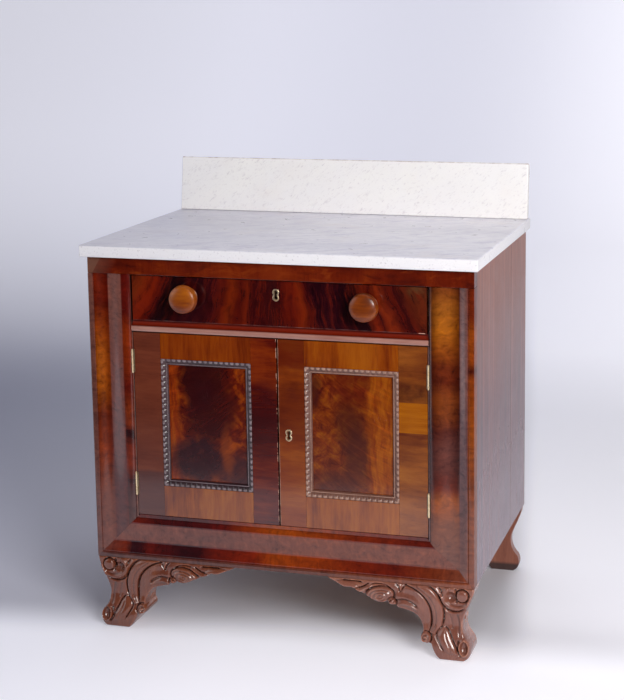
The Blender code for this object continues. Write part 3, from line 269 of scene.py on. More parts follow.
# (distance inwards, rise, share of the wave's depth)
RIPPLE_PROFILE = (
    (0, 0, 0), (0, 8.2, 0.4), (0.5, 9.2, 0.7), (1.5, 9.7, 1.0), (3.2, 9.6, 1.0), (4.8, 8.9, 1.0), (6.2, 7.9, 1.0),
    (7.4, 6.9, 0.9), (8.3, 5.9, 0.5), (8.8, 5.0, 0.1), (9.2, 4.7, 0.0), (9.7, 5.2, 0.1), (10.4, 5.5, 0.25),
    (11.2, 5.2, 0.25), (11.9, 4.2, 0.1), (12.4, 3.2, 0.0), (13.0, 2.7, 0.0), (13.0, 0, 0))


def ripple_piece(word):
    lo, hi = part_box("ripple_moulding_" + word)
    corners = (((lo.x, lo.z), (1, 0)), ((hi.x, lo.z), (0, 1)), ((hi.x, hi.z), (-1, 0)), ((lo.x, hi.z), (0, -1)))
    verts, rings = [], 0
    for (x, z), (dx, dz) in corners:
        length = hi.x - lo.x if dx else hi.z - lo.z
        waves = round(length / RIPPLE_PITCH)
        steps = waves * STEPS_PER_WAVE
        for i in range(steps):
            along = length * i / steps
            phase = 2 * pi * waves * along / length
            wave = (0.5 - 0.5 * cos(phase)) ** 0.7
            fine = 0.5 - 0.5 * cos(phase * 3)
            for inward, rise, share in RIPPLE_PROFILE:
                inward, rise = inward * MM, rise * MM
                drop = share * (RIPPLE_DEPTH * (1 - wave) + RIPPLE_FINE * fine)
                # at a mitre the strip meets its neighbour at the same depth
                a = along
                if inward > min(along, length - along):
                    a = inward if along < length / 2 else length - inward
                verts.append((x + dx * a - dz * inward, hi.y - max(rise - drop, 0), z + dz * a + dx * inward))
            rings += 1
    ring = piece("rippled_strips_" + word, verts, tube_faces(rings, len(RIPPLE_PROFILE), True), 50)
    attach(ring, word + "_door")
    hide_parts("ripple_moulding_" + word)
    return ring


# Knobs
def knob_piece(word):
    lo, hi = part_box("drawer_knob_" + word)
    centre = ((lo.x + hi.x) / 2, FACE, (lo.z + hi.z) / 2)
    radius, length = (hi.x - lo.x) / 2, FACE - lo.y
    shares = (
        (0.74, 0.01), (0.745, 0.045), (0.60, 0.10), (0.44, 0.19), (0.46, 0.28), (0.64, 0.36), (0.86, 0.42),
        (0.965, 0.478), (0.998, 0.54), (0.985, 0.60), (0.945, 0.66), (0.92, 0.70), (0.918, 0.73), (0.945, 0.757),
        (0.955, 0.79), (0.92, 0.84), (0.82, 0.893), (0.62, 0.950), (0.35, 0.986), (0.12, 0.998), (0.01, 1.0))
    profile = [(r, FACE - y) for r, y in ((0.008, hi.y), (8.5 * MM, hi.y), (8.5 * MM, FACE - 0.3 * MM))]
    profile += [(r * radius * 0.9995, h * length) for r, h in catmull(shares, 5)]
    knob = revolved("turned_knob_" + word, profile, centre, 96)
    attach(knob, "drawer")
    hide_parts("drawer_knob_" + word)
    return knob


# Escutcheons
def keyhole(grow, centre, height, count=30):
    """Outline of two circles, one over the other."""
    radius, points = 3.0 * MM + grow, []
    for part, start in ((5.5 * MM, -50), (-5.5 * MM, 130)):
        for k in range(count):
            a = radians(start + 280 * k / (count - 1))
            points.append((centre + radius * cos(a), height + part + radius * sin(a)))
    return points


def escutcheon_piece(node, body):
    lo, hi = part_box(node)
    y0, y1 = lo.y, hi.y
    loops = ((3.6, y1), (3.6, y0 + 0.35 * MM), (3.35, y0 + 0.1 * MM), (3.0, y0), (1.3, y0), (0.85, y0 + 0.12 * MM),
             (0.6, y0 + 0.5 * MM), (0.6, y1))
    verts = []
    for grow, y in loops:
        verts += [(x, y, z) for x, z in keyhole(grow * MM, (lo.x + hi.x) / 2, (lo.z + hi.z) / 2)]
    ring = piece(node + "_ring", verts, tube_faces(len(loops), len(verts) // len(loops), True), 40)
    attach(ring, body)
    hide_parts(node)
    return ring


# Carved front feet: places in millimetres, u from the foot's outer edge, z from the floor
FOOT_WIDE, REAR_WIDE, FOOT_HIGH, FOOT_TALL = 300.0, 78.0, 147.0, 146.7
OUTLINE_SHARES = (
    ((0.000, 0.998), (0.006, 0.930), (0.020, 0.850), (0.042, 0.740), (0.066, 0.630), (0.080, 0.530),
     (0.080, 0.440), (0.068, 0.350), (0.048, 0.285), (0.030, 0.240), (0.020, 0.180), (0.020, 0.110),
     (0.034, 0.045), (0.062, 0.000)),
    ((0.062, 0.000), (0.225, 0.000)),
    ((0.225, 0.000), (0.252, 0.055), (0.272, 0.130), (0.285, 0.205)),
    ((0.285, 0.205), (0.315, 0.205), (0.346, 0.240), (0.354, 0.300), (0.342, 0.355)),
    ((0.342, 0.355), (0.345, 0.430), (0.366, 0.530), (0.402, 0.595), (0.455, 0.632), (0.510, 0.655)),
    ((0.510, 0.655), (0.530, 0.692), (0.556, 0.697), (0.575, 0.722)),
    ((0.575, 0.722), (0.610, 0.712), (0.650, 0.722), (0.700, 0.765), (0.750, 0.812), (0.795, 0.846),
     (0.828, 0.884)),
    ((0.828, 0.884), (0.868, 0.877), (0.910, 0.912), (0.955, 0.950), (1.000, 0.998)),
)


def in_foot(shares, wide=FOOT_WIDE):
    """Shares of the foot's width and height as places in millimetres."""
    return [(u * wide, min(v * FOOT_HIGH, FOOT_TALL)) for u, v in shares]


def foot_outline(pitch=1.6):
    """The foot's outline in millimetres, resampled evenly."""
    line = []
    for run in OUTLINE_SHARES:
        knots = in_foot(run)
        points = catmull(knots, 10) if len(run) > 2 else [np.array(p) for p in knots]
        line += points[1:] if line else points
    line.append(line[0])
    out = []
    for a, b in zip(line, line[1:]):
        count = max(1, int(round(np.linalg.norm(b - a) / pitch)))
        out += [a + (b - a) * k / count for k in range(count)]
    return np.array(out)


def to_line(points, line):
    """Distance from each point to a polyline, and the share of its length at the nearest place."""
    line = np.array(line, float)
    best = np.full(len(points), 1e9)
    along = np.zeros(len(points))
    lengths = np.linalg.norm(np.diff(line, axis=0), axis=1)
    total, run = lengths.sum(), 0.0
    for a, b, size in zip(line, line[1:], lengths):
        if size == 0:
            continue
        d = (b - a) / size
        t = np.clip((points - a) @ d, 0, size)
        gap = np.linalg.norm(points - (a + t[:, None] * d), axis=1)
        closer = gap < best
        best[closer] = gap[closer]
        along[closer] = (run + t[closer]) / total
        run += size
    return best, along


def inside(points, polygon):
    """Whether each point is within a closed polygon."""
    x, y = points[:, 0], points[:, 1]
    hit = np.zeros(len(points), bool)
    polygon = np.array(polygon, float)
    for (x0, y0), (x1, y1) in zip(polygon, np.roll(polygon, -1, axis=0)):
        if y0 == y1:
            continue
        cross = (y0 > y) != (y1 > y)
        hit ^= cross & (x < (x1 - x0) * (y - y0) / (y1 - y0) + x0)
    return hit


def step_up(value, start, end):
    t = np.clip((value - start) / (end - start), 0, 1)
    return t * t * (3 - 2 * t)


def groove(points, knots, width, depth, steps=8):
    """A tapering cut along a curve."""
    gap, along = to_line(points, catmull(knots, steps))
    taper = np.clip(np.minimum(along, 1 - along) * 9, 0.15, 1)
    return -depth * taper * np.exp(-(gap / (width * (0.5 + 0.5 * taper))) ** 2)


def bell(value, middle, width):
    return np.exp(-((value - middle) / width) ** 2)


def dome(reach, rise):
    return np.where(reach < 1, rise * np.sqrt(np.clip(1 - reach ** 2, 0, 1)), 0)


def with_cuts(h, points, rows):
    """The height with grooves along curves, or with ridges where a depth is negative."""
    for width, depth, *knots in rows:
        h = h + groove(points, knots, width, depth)
    return h


def carved(points):
    """Height of the carving ahead of the fillets' plane, in millimetres."""
    u, z = points[:, 0], points[:, 1]
    shank = 1 - step_up(u, 95, 140)
    h = shank * (10.0 * (1 - step_up(z, 12, 74)) - 3.5 * bell(z, 78, 24))
    h += 1.5 * step_up(u, 60, 150) * (1 - step_up(z, 132, 147))

    def disc(centre, radius):
        return np.linalg.norm(points - np.array(centre), axis=1) / radius

    # big double C-scroll
    outer = catmull([(100, 149), (84, 141), (70, 124), (62, 103), (61, 82), (66, 62), (76, 50)], 10)
    inner = catmull([(150, 146), (124, 139), (104, 126), (91, 108), (86, 88), (86, 68), (90, 54)], 10)
    band = inside(points, outer + inner[::-1])
    gap_a, gap_b = to_line(points, outer)[0], to_line(points, inner)[0]
    share = gap_a / np.maximum(gap_a + gap_b, 1e-6)
    body = np.where(band, 4.6 * np.sin(pi * share) ** 0.7, 0)
    h += body + np.where(band, -1.5 * bell(share, 0.60, 0.07), 0)
    h = with_cuts(h, points, (
        (1.9, 4.0, (100, 148), (84, 141), (70, 124), (62, 103), (61, 82), (66, 62)),
        (1.8, 4.4, (150, 147), (124, 139), (104, 126), (91, 108), (86, 88), (86, 68), (90, 52))))

    # inner web with its crest
    rim = [np.array(p) for p in ((103, 52), (104, 64), (112, 80), (124, 89), (153, 96), (160, 108))]
    gap_c = to_line(points, [(96, 50), (98, 80), (108, 100), (124, 113), (150, 118)])[0]
    h += np.where(inside(points, inner + rim), 2.6 * bell(gap_c, 0, 9), 0)
    h = with_cuts(h, points, (
        (2.6, 4.2, (112, 98), (124, 108), (140, 114), (156, 110), (162, 102)),
        (2.6, -2.0, (112, 92), (126, 102), (142, 106), (156, 100))))

    # volute at the lower end of the C-scroll
    r = disc((97, 42), 11)
    spiral = np.cos(2 * pi * (r * 1.5) - np.arctan2(z - 42, u - 97))
    h = np.where(r < 1.1, np.maximum(h, 2.0), h)
    h += np.where(r < 1.15, 5.2 * np.sqrt(np.clip(1 - r * r, 0, 1)) + 1.3 * spiral * (1 - step_up(r, 0.85, 1.1)), 0)
    h += -3.6 * bell(r, 1.2, 0.13) * (u < 100)

    # scrolled band under the case corner, round a deep hollow
    hollow = disc((46, 127), 11)
    h += np.where(hollow < 1, -9.0 * np.maximum(1 - hollow ** 2, 0) ** 0.8, 0)
    scroll = catmull([(9, 126), (14, 112), (30, 105), (48, 108), (60, 118), (62, 132), (54, 142)], 10)
    gap_d = to_line(points, scroll)[0]
    h += 4.0 * np.exp(-(gap_d / 4.2) ** 4)
    h = with_cuts(h, points, ((1.9, 4.2, (18, 108), (30, 99), (44, 97), (58, 104), (67, 118)),))
    eye = disc((24, 131), 11.5)
    h += np.where(eye < 1, 5.0 * np.sqrt(np.clip(1 - eye ** 2 * 0.75, 0, 1)), 0) - 4.5 * bell(eye, 1.12, 0.13)
    h = with_cuts(h, points, (
        (2.2, -2.2, (80, 145), (70, 134), (62, 122)),
        (1.8, 3.4, (72, 146), (66, 138), (62, 128)),
        (2.4, 4.5, (38, 146), (37, 138), (36, 122), (34, 114))))

    # tongue in the shank and the ribs that sweep to the toe
    tongue = catmull([(58, 66), (50, 58), (42, 42), (33, 26), (30, 14), (44, 12), (60, 20), (70, 34), (74, 48),
                      (68, 60), (58, 66)], 8)
    h += np.where(inside(points, tongue), 3.6 * (1 - bell(to_line(points, tongue)[0], 0, 6)), 0)
    h = with_cuts(h, points, (
        (1.7, 4.0, (60, 68), (50, 58), (42, 42), (34, 27), (32, 16)),
        (1.6, 3.2, (60, 68), (70, 60), (75, 48), (66, 30), (58, 18)),
        (1.8, 1.4, (58, 58), (54, 42), (46, 26), (44, 16)),
        (2.6, 1.6, (36, 96), (31, 76), (30, 56), (27, 44)),
        (2.6, 1.4, (50, 94), (45, 76), (43, 60)),
        (3.0, -1.2, (30, 92), (26, 72), (25, 54))))

    # toe scroll with its teardrop
    toe = np.sqrt(((u - 19) / 8.5) ** 2 + ((z - 28) / 13) ** 2)
    h += np.where(toe < 1, -6.0 * (1 - toe ** 2), 0) + 3.4 * bell(toe, 1.12, 0.2)
    h = with_cuts(h, points, ((2.2, 3.4, (30, 44), (32, 32), (30, 20), (24, 10)),))

    # bead, leaf tips and cabochon
    bead = disc((165, 107), 8.5)
    h += dome(bead, 6.5) - 3.0 * bell(bead, 1.15, 0.18)
    h = with_cuts(h, points, (
        (1.5, 3.0, (134, 147), (142, 138), (147, 128)),
        (1.5, 3.0, (158, 146), (151, 138), (148, 128)),
        (2.0, -2.0, (150, 146), (147, 137), (146, 130))))
    tilt = radians(-12)
    du, dz = u - 190, z - 119
    eu, ez = du * cos(tilt) + dz * sin(tilt), -du * sin(tilt) + dz * cos(tilt)
    oval = np.sqrt((eu / 29) ** 2 + (ez / 17) ** 2)
    core = np.sqrt(((eu + 2) / 29) ** 2 + ((ez + 2) / 17) ** 2)
    h += np.where(oval < 1, 6.4 * np.sqrt(np.clip(1 - oval ** 2, 0, 1)) + 0.9 * np.cos(2 * pi * core * 3.2), 0)
    h += -3.4 * bell(oval, 1.06, 0.06)

    # leaves that run out along the rail
    leaf = np.sqrt(((u - 256) / 24) ** 2 + ((z - 133 - (u - 256) * 0.16) / 8) ** 2)
    h = with_cuts(h, points, (
        (1.5, 3.0, (166, 132), (178, 140), (200, 141), (216, 134)),
        (2.4, -4.0, (204, 140), (216, 131), (230, 124), (242, 123)),
        (1.6, 4.0, (210, 142), (224, 133), (240, 128), (246, 127))))
    h += dome(leaf, 4.0)
    return with_cuts(h, points, (
        (1.7, 6.0, (224, 141), (246, 142.5), (268, 143)),
        (1.2, -1.5, (230, 144), (262, 145), (286, 144))))


def foot_piece(word, side):
    outline = foot_outline()
    closed = np.vstack([outline, outline[:1]])
    pitch = 1.25
    round_edge, deepest, highest = 3.2, -11, 13.5
    us = np.arange(0, FOOT_WIDE, pitch)
    grid = []
    for row, zc in enumerate(np.arange(pitch / 2, FOOT_TALL, pitch * 0.866)):
        grid.append(np.stack([us + (pitch / 2 if row % 2 else 0), np.full(len(us), zc)], axis=1))
    grid = np.concatenate(grid)
    grid = grid[inside(grid, outline)]
    grid = grid[to_line(grid, closed)[0] > pitch * 0.55]
    count = len(outline)
    edges = [(i, (i + 1) % count) for i in range(count)]

    def filled(more):
        """Triangles within the outline, over its points and some more."""
        coords = [Vector(p) for p in outline] + [Vector(p) for p in more]
        return delaunay_2d_cdt(coords, edges, [tuple(range(count))], 1, 1e-6)

    face, _, tris, origin, _, _ = filled(grid)
    flat = np.array([(v.x, v.y) for v in face])
    t = np.clip(to_line(flat, closed)[0] / round_edge, 0, 1)
    height = carved(flat) * (0.25 + 0.75 * np.sqrt(t)) - round_edge * (1 - np.sqrt(np.clip(1 - (1 - t) ** 2, 0, 1)))
    height = np.clip(height, deepest, highest)
    x = side * (CASE_HALF - flat[:, 0] * MM)
    verts = [(a, FRONT - b * MM, c * MM) for a, b, c in zip(x, height, flat[:, 1])]
    faces = [tuple(f) for f in tris]

    def thickness(u):
        return (52.0 - 24.0 * float(step_up(np.array(u), 147.5, 151.5))) * MM

    near = [0] * count
    for i, sources in enumerate(origin):
        for source in sources:
            if source < count:
                near[source] = i
    ring = near
    for share in (0.35, 1.0):
        start = len(verts)
        for i, p in enumerate(outline):
            y0 = verts[near[i]][1]
            verts.append((side * (CASE_HALF - p[0] * MM), y0 + (FRONT + thickness(p[0]) - y0) * share, p[1] * MM))
        after = list(range(start, start + count))
        for i, j in edges:
            faces.append((ring[i], ring[j], after[j], after[i]))
        ring = after
    # back, with a row of points at the step down to the bracket
    back, _, tris, _, _, _ = filled([(u, w) for u in (146.0, 149.5, 153.0) for w in np.arange(100.0, 145.0, 6.0)])
    start = len(verts)
    verts += [(side * (CASE_HALF - v.x * MM), FRONT + thickness(v.x), v.y * MM) for v in back]
    faces += [tuple(start + i for i in f) for f in tris]
    foot = piece("carved_foot_" + word, verts, faces)
    work = bmesh.new()
    work.from_mesh(foot.data)
    bmesh.ops.remove_doubles(work, verts=work.verts, dist=0.00002)
    # tab that runs up inside the case
    outer = CASE_HALF - 22.3 * MM
    add_box(work, (side * (outer - 70 * MM), FRONT + 27.3 * MM, 0.075),
            (side * outer, FRONT + 51.7 * MM, high("front_foot_" + word).z))
    bmesh.ops.recalc_face_normals(work, faces=work.faces)
    work.to_mesh(foot.data)
    work.free()
    soften(foot.data, 50)
    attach(foot, "case")
    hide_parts("front_foot_" + word)
    return foot


# Plain rear feet
REAR_INNER_SHARES = ((0.870, 0.000), (0.960, 0.080), (1.000, 0.190), (0.985, 0.330), (0.960, 0.480), (0.965, 0.640),
                     (1.000, 0.800), (1.080, 0.998))


def rear_foot_piece(word, side):
    lo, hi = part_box("rear_foot_" + word)
    top, eased = hi.z / MM, 1.0 * MM
    points = np.array(
        [tuple(p) for p in catmull(in_foot(OUTLINE_SHARES[0]), 6) + catmull(in_foot(REAR_INNER_SHARES, REAR_WIDE), 6)]
        + [(93.1, FOOT_TALL), (93.1, top), (23.1, top), (23.1, FOOT_TALL)])
    before, after = np.roll(points, 1, axis=0), np.roll(points, -1, axis=0)
    tangent = after - before
    tangent /= np.maximum(np.linalg.norm(tangent, axis=1, keepdims=True), 1e-9)
    normal = np.stack([-tangent[:, 1], tangent[:, 0]], axis=1)
    if np.sum(points[:, 0] * after[:, 1] - after[:, 0] * points[:, 1]) < 0:
        normal = -normal
    verts = []
    for y, shrink in ((lo.y, 1), (lo.y + eased, 0), (hi.y - eased, 0), (hi.y, 1)):
        moved = points + normal * shrink * eased / MM
        verts += [(side * (CASE_HALF - p[0] * MM), y, max(p[1], 0) * MM) for p in moved]
    foot = capped("sawn_foot_" + word, verts, 4, 40)
    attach(foot, "case")
    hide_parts("rear_foot_" + word)
    return foot


# Marble with softly worn edges
WORN_EDGE = 2.2 * MM
SPLASH_LEAN, SPLASH_THICK, SPLASH_TALL = radians(8.2), 19.8 * MM, 121 * MM


def slab_piece(name, node, lean=0.0, thick=0.0, tall=0.0):
    """A slab of the node's box, or one that leans back from the box's lower front edge."""
    lo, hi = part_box(node)
    work = bmesh.new()
    if not lean:
        add_box(work, lo, hi)
    else:
        up, through = Vector((0, sin(lean), cos(lean))), Vector((0, cos(lean), -sin(lean)))
        toe = Vector((0, lo.y, lo.z))
        top = toe + tall * up
        section = (toe, top, top + thick * through, toe + Vector((0, thick / cos(lean), 0)))
        rings = [[work.verts.new((x, p.y, p.z)) for p in section] for x in (lo.x, hi.x)]
        for i in range(4):
            j = (i + 1) % 4
            work.faces.new((rings[0][i], rings[0][j], rings[1][j], rings[1][i]))
        work.faces.new(rings[0])
        work.faces.new(rings[1][::-1])
        bmesh.ops.recalc_face_normals(work, faces=work.faces)
    obj = placed(name, new_mesh(name, work))
    bevel = obj.modifiers.new("worn edge", "BEVEL")
    bevel.width, bevel.segments = WORN_EDGE, 4
    apply_modifiers(obj)
    soften(obj.data, 35)
    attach(obj, "case")
    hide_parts(node)
    return obj


# Materials
def srgb(*rgb):
    out = []
    for c in rgb:
        c /= 255
        out.append(c / 12.92 if c <= 0.04045 else ((c + 0.055) / 1.055) ** 2.4)
    return (*out, 1.0)


class Value:
    """An output of a node, which can stand in sums and be spread over a range."""

    def __init__(self, look, socket):
        self.look, self.socket = look, socket

    def __add__(self, other):
        return self.look.calc("ADD", self, other)

    def __sub__(self, other):
        return self.look.calc("SUBTRACT", self, other)

    def __rsub__(self, other):
        return self.look.calc("SUBTRACT", other, self)

    def __mul__(self, other):
        return self.look.calc("MULTIPLY", self, other)

    def __abs__(self):
        return self.look.calc("ABSOLUTE", self)

    def held(self):
        """The same sum, kept between 0 and 1."""
        self.socket.node.use_clamp = True
        return self

    def remap(self, low_in, high_in, low_out, high_out, smooth=False):
        feeds = {"Value": self, "From Min": low_in, "From Max": high_in, "To Min": low_out, "To Max": high_out}
        kind = "SMOOTHSTEP" if smooth else "LINEAR"
        return self.look.read("ShaderNodeMapRange", feeds, interpolation_type=kind)

    def rise(self, start, end, most=1.0):
        return self.remap(start, end, 0.0, most)

    def ease(self, start, end, most=1.0):
        return self.remap(start, end, 0.0, most, True)

    def mix(self, share, other, blend="MIX"):
        return self.look.mix(share, self, other, blend)


class Look:
    """A node material, built from the object's own coordinates."""

    def __init__(self, name):
        self.material = bpy.data.materials.new(name)
        self.material.use_nodes = True
        self.tree = self.material.node_tree
        self.tree.nodes.clear()
        self.shader = self.node("ShaderNodeBsdfPrincipled")
        self.out = self.node("ShaderNodeOutputMaterial", {"Surface": Value(self, self.shader.outputs[0])})
        self.coords = self.read("ShaderNodeTexCoord", output="Object")

    def node(self, kind, feeds=None, **settings):
        made = self.tree.nodes.new(kind)
        for key, value in settings.items():
            setattr(made, key, value)
        for key, value in (feeds or {}).items():
            self.feed(made.inputs[key], value)
        return made

    def read(self, kind, feeds=None, output=0, **settings):
        return Value(self, self.node(kind, feeds, **settings).outputs[output])

    def feed(self, socket, value):
        """Links an output, or sets a constant; colours of three numbers count to 255."""
        if isinstance(value, Value):
            self.tree.links.new(value.socket, socket)
        elif socket.type == "RGBA" and len(value) == 3:
            socket.default_value = srgb(*value)
        else:
            socket.default_value = value

    def finished(self, feeds):
        for key, value in feeds.items():
            self.feed(self.shader.inputs[key], value)
        return self.material

    def mapped(self, scale=(1, 1, 1), move=(0, 0, 0), turn=(0, 0, 0), source=None):
        return self.read("ShaderNodeMapping", {
            "Vector": source or self.coords, "Scale": scale, "Location": move, "Rotation": turn})

    def noise(self, vector, scale, detail=3.0, rough=0.5, bend=0.0, output="Fac"):
        return self.read("ShaderNodeTexNoise", {
            "Vector": vector, "Scale": scale, "Detail": detail, "Roughness": rough, "Distortion": bend}, output)

    def calc(self, operation, a, b=0.0):
        return self.read("ShaderNodeMath", {0: a, 1: b}, operation=operation)

    def ramp(self, factor, stops):
        """Colours over a value, as (place, colour)."""
        made = self.node("ShaderNodeValToRGB", {0: factor})
        elements = made.color_ramp.elements
        while len(elements) < len(stops):
            elements.new(0.5)
        for item, (place, colour) in zip(elements, stops):
            item.position = place
            item.color = srgb(*colour)
        return Value(self, made.outputs["Color"])

    def mix(self, share, a, b, blend="MIX"):
        return self.read("ShaderNodeMix", {0: share, 6: a, 7: b}, 2, data_type="RGBA", blend_type=blend)

    def warp(self, vector, scale, amount):
        """Coordinates bent by a soft noise."""
        shift = self.noise(vector, scale, 2.0, 0.5, 0.0, "Color")
        return self.read("ShaderNodeVectorMath", {0: shift, 1: (amount,) * 3, 2: vector}, operation="MULTIPLY_ADD")

    def axis(self, index, vector=None):
        return self.read("ShaderNodeSeparateXYZ", {0: vector or self.coords}, index)

    x = property(lambda self: self.axis(0))
    y = property(lambda self: self.axis(1))
    z = property(lambda self: self.axis(2))

    def bump(self, height, strength, distance, normal=None):
        feeds = {"Strength": strength, "Distance": distance, "Height": height}
        return self.read("ShaderNodeBump", {**feeds, "Normal": normal} if normal else feeds)

    def within(self, index, start, end, soft=0.0006):
        """1 where a coordinate lies between two values."""
        value = self.axis(index)
        return value.rise(start - soft, start + soft) * value.remap(end - soft, end + soft, 1.0, 0.0)

    def blend(self, x, y, z):
        return self.read("ShaderNodeCombineXYZ", {0: x, 1: y, 2: z})

    def around(self, scale, amount):
        """The object's coordinates, bent by a noise that shifts them no way on the whole."""
        return self.warp(self.mapped(move=(-0.5 * amount,) * 3), scale, amount)

    def blob(self, cx, cz, rx, rz, soft=0.3, source=None):
        """1 inside an ellipse on the front, with a soft rim."""
        dx = (self.axis(0, source) - cx) * (1 / rx)
        dz = (self.axis(2, source) - cz) * (1 / rz)
        return self.calc("SQRT", dx * dx + dz * dz).remap(1 - soft, 1 + soft, 1.0, 0.0, True)

    def feather(self, slope, curve, x0, scale, source=None):
        """Fine curved streaks that cross the flame of a crotch veneer."""
        x = self.axis(0, source) - x0
        place = self.axis(2, source) - x * slope - x * x * curve
        return self.noise(self.blend(x * 0.11, 0.0, place), scale, 4.0, 0.62, 0.2).rise(0.50, 0.70)


GRAIN = {"X": (0.10, 1.0, 1.0), "Y": (1.0, 0.10, 1.0), "Z": (1.0, 1.0, 0.10)}


def scaled(tone, share, lift=0.0):
    """A tone made darker or lighter."""
    return tuple(min(1, c * share + lift) for c in srgb(*tone)[:3]) + (1.0,)


def mahogany(name, tones, grain="Z", seed=0.0, figure=0.5, streak=0.5, bend=0.02, rough=(0.07, 0.17), coat=0.6,
             patch=7.0, extra=None, worn=0.0, specular=0.5, veil=0.05, relief=1.0, dull=0.0, hollow_shade=0.0, flank=0.0):
    """Polished mahogany: tones are dark, middle and light; figure is how much the broad cloudy figure shows."""
    look = Look(name)
    dark, middle, light = tones
    stretch = GRAIN[grain]
    moved = look.mapped(move=(seed * 3.17, seed * 1.31, seed * 2.23))
    bent = look.warp(moved, 4.0, bend)
    along = look.mapped(stretch, source=bent)
    cloud = look.noise(look.mapped(tuple(0.45 + 0.55 * s for s in stretch), source=bent), patch, 4.0, 0.55, 0.9)
    broad = look.noise(along, 30.0, 4.0, 0.6, 0.3)
    fine = look.noise(along, 170.0, 5.0, 0.65, 0.2)
    value = (cloud - 0.5) * (2.2 * figure) + (broad - 0.5) * (1.5 * streak) + (fine - 0.5) * (0.9 * streak)
    colour = look.ramp((value + 0.5).held(), ((0.12, dark), (0.5, middle), (0.9, light)))
    flecks = look.noise(look.mapped(tuple(1.0 if s == 1.0 else 0.045 for s in stretch), source=bent), 900.0, 2.0, 0.5)
    pore = flecks.rise(0.60, 0.72)
    colour = colour.mix(pore * 0.35, scaled(dark, 0.35))
    if extra:
        colour = extra(look, colour)
    if worn:
        rub = look.read("ShaderNodeNewGeometry", output="Pointiness").rise(0.52, 0.60, worn)
        rub = rub * look.noise(moved, 60.0, 3.0, 0.6).rise(0.35, 0.65)
        colour = colour.mix(rub, scaled(light, 2.2, 0.05))
    if hollow_shade:
        # painted shade darkens the carving's recesses, found by pointiness
        edge = look.read("ShaderNodeNewGeometry", output="Pointiness")
        colour = colour.mix(edge.rise(0.495, 0.43, hollow_shade), (26, 8, 8))
    gloss = look.noise(moved, 14.0, 4.0, 0.6, 0.5).remap(0.3, 0.7, *rough) + pore * 0.12
    if dull:
        gloss = gloss + look.z.rise(0.25, 0.75, dull)
    if flank:
        faces = look.axis(0, look.read("ShaderNodeNewGeometry", output="Normal"))
        gloss = (gloss + abs(faces).rise(0.8, 0.95, flank)).held()
    soft = look.bump(look.noise(moved, 11.0, 2.0, 0.5), 0.22 * relief, 0.0008)
    return look.finished({
        "Base Color": colour, "Roughness": gloss,
        "Normal": look.bump(pore + fine * -0.4, 0.10 * relief, 0.0003, soft),
        "Specular IOR Level": specular, "Coat Weight": coat, "Coat Roughness": veil, "IOR": 1.5})


RED = ((38, 5, 6), (88, 18, 8), (136, 50, 10))
RAIL = ((62, 10, 5), (98, 26, 8), (128, 46, 12))
ORANGE = ((96, 34, 5), (136, 64, 8), (162, 90, 16))
AMBER = ((104, 38, 5), (144, 70, 8), (168, 94, 14))
BROWN = ((54, 16, 9), (96, 36, 14), (124, 60, 24))
FLAME = ((40, 6, 7), (88, 22, 7), (144, 60, 10))
CARVE = ((60, 24, 15), (108, 54, 36), (146, 84, 54))
NIGHT = (22, 3, 7)

# Height of the drawer front's middle, and half its width
DRAWER_MIDDLE, DRAWER_REACH = 0.691, 0.302

# Tones across the drawer front: (share of its width from the left, colour)
DRAWER_TONES = (
    (0.0, (110, 36, 10)), (0.03, (120, 30, 7)), (0.06, (110, 24, 6)), (0.09, (74, 10, 6)), (0.11, (14, 3, 7)),
    (0.15, (20, 4, 8)), (0.17, (64, 9, 9)), (0.2, (36, 5, 12)), (0.25, (46, 6, 12)), (0.29, (60, 8, 11)),
    (0.32, (90, 20, 7)), (0.34, (112, 34, 6)), (0.37, (76, 12, 6)), (0.4, (100, 26, 8)), (0.415, (56, 7, 9)),
    (0.45, (62, 8, 8)), (0.49, (46, 6, 9)), (0.53, (82, 14, 7)), (0.56, (96, 20, 7)), (0.585, (116, 34, 8)),
    (0.61, (66, 9, 8)), (0.63, (34, 4, 12)), (0.7, (40, 5, 13)), (0.74, (26, 4, 11)), (0.785, (14, 3, 7)),
    (0.815, (118, 32, 10)), (0.835, (66, 11, 8)), (0.86, (126, 40, 13)), (0.9, (72, 13, 8)), (0.93, (58, 10, 10)),
    (0.96, (90, 30, 13)), (1.0, (88, 36, 16)),
)


def drawer_figure(look, colour):
    """Bands of flame veneer that lean apart from the middle of the drawer front, with one joint."""
    bent = look.around(20.0, 0.026)
    x, z = look.axis(0, bent), look.axis(2, bent) - DRAWER_MIDDLE
    place = x + look.x * 2.0 * z
    tones = look.ramp(place.rise(-DRAWER_REACH, DRAWER_REACH), DRAWER_TONES)
    grain = look.noise(look.blend(place, 0.0, z * 0.16), 75.0, 4.0, 0.6, 0.3)
    fine = look.noise(look.blend(place, 0.3, z * 0.07), 420.0, 4.0, 0.6)
    mottle = look.noise(bent, 46.0, 4.0, 0.6, 0.6)
    light = grain.rise(0.5, 0.72, 0.6) + fine.rise(0.5, 0.72, 0.45)
    dark = grain.rise(0.5, 0.28, 0.70) + mottle.rise(0.5, 0.3, 0.5)
    tones = tones.mix((dark * 0.9).held(), NIGHT)
    tones = tones.mix((light * 0.55).held(), (124, 34, 6), "LIGHTEN")
    olive = look.blob(0.283, 0.7275, 0.016, 0.011, 0.7, bent) * mottle.rise(0.4, 0.6)
    tones = tones.mix(olive * 0.7, (84, 58, 34))
    tones = tones.mix(look.within(0, -0.0553, -0.0545, 0.0004) * 0.6, NIGHT)
    rub = look.within(2, 0.6455, 0.6469, 0.0004) * look.noise(look.coords, 40.0, 4.0, 0.7).remap(0.42, 0.62, 0.1, 0.7)
    tones = tones.mix(rub, (150, 108, 104))
    chip = look.within(0, 0.2860, 0.2985) * look.within(2, 0.6455, 0.6474, 0.0005)
    return tones.mix(chip, (226, 172, 152))


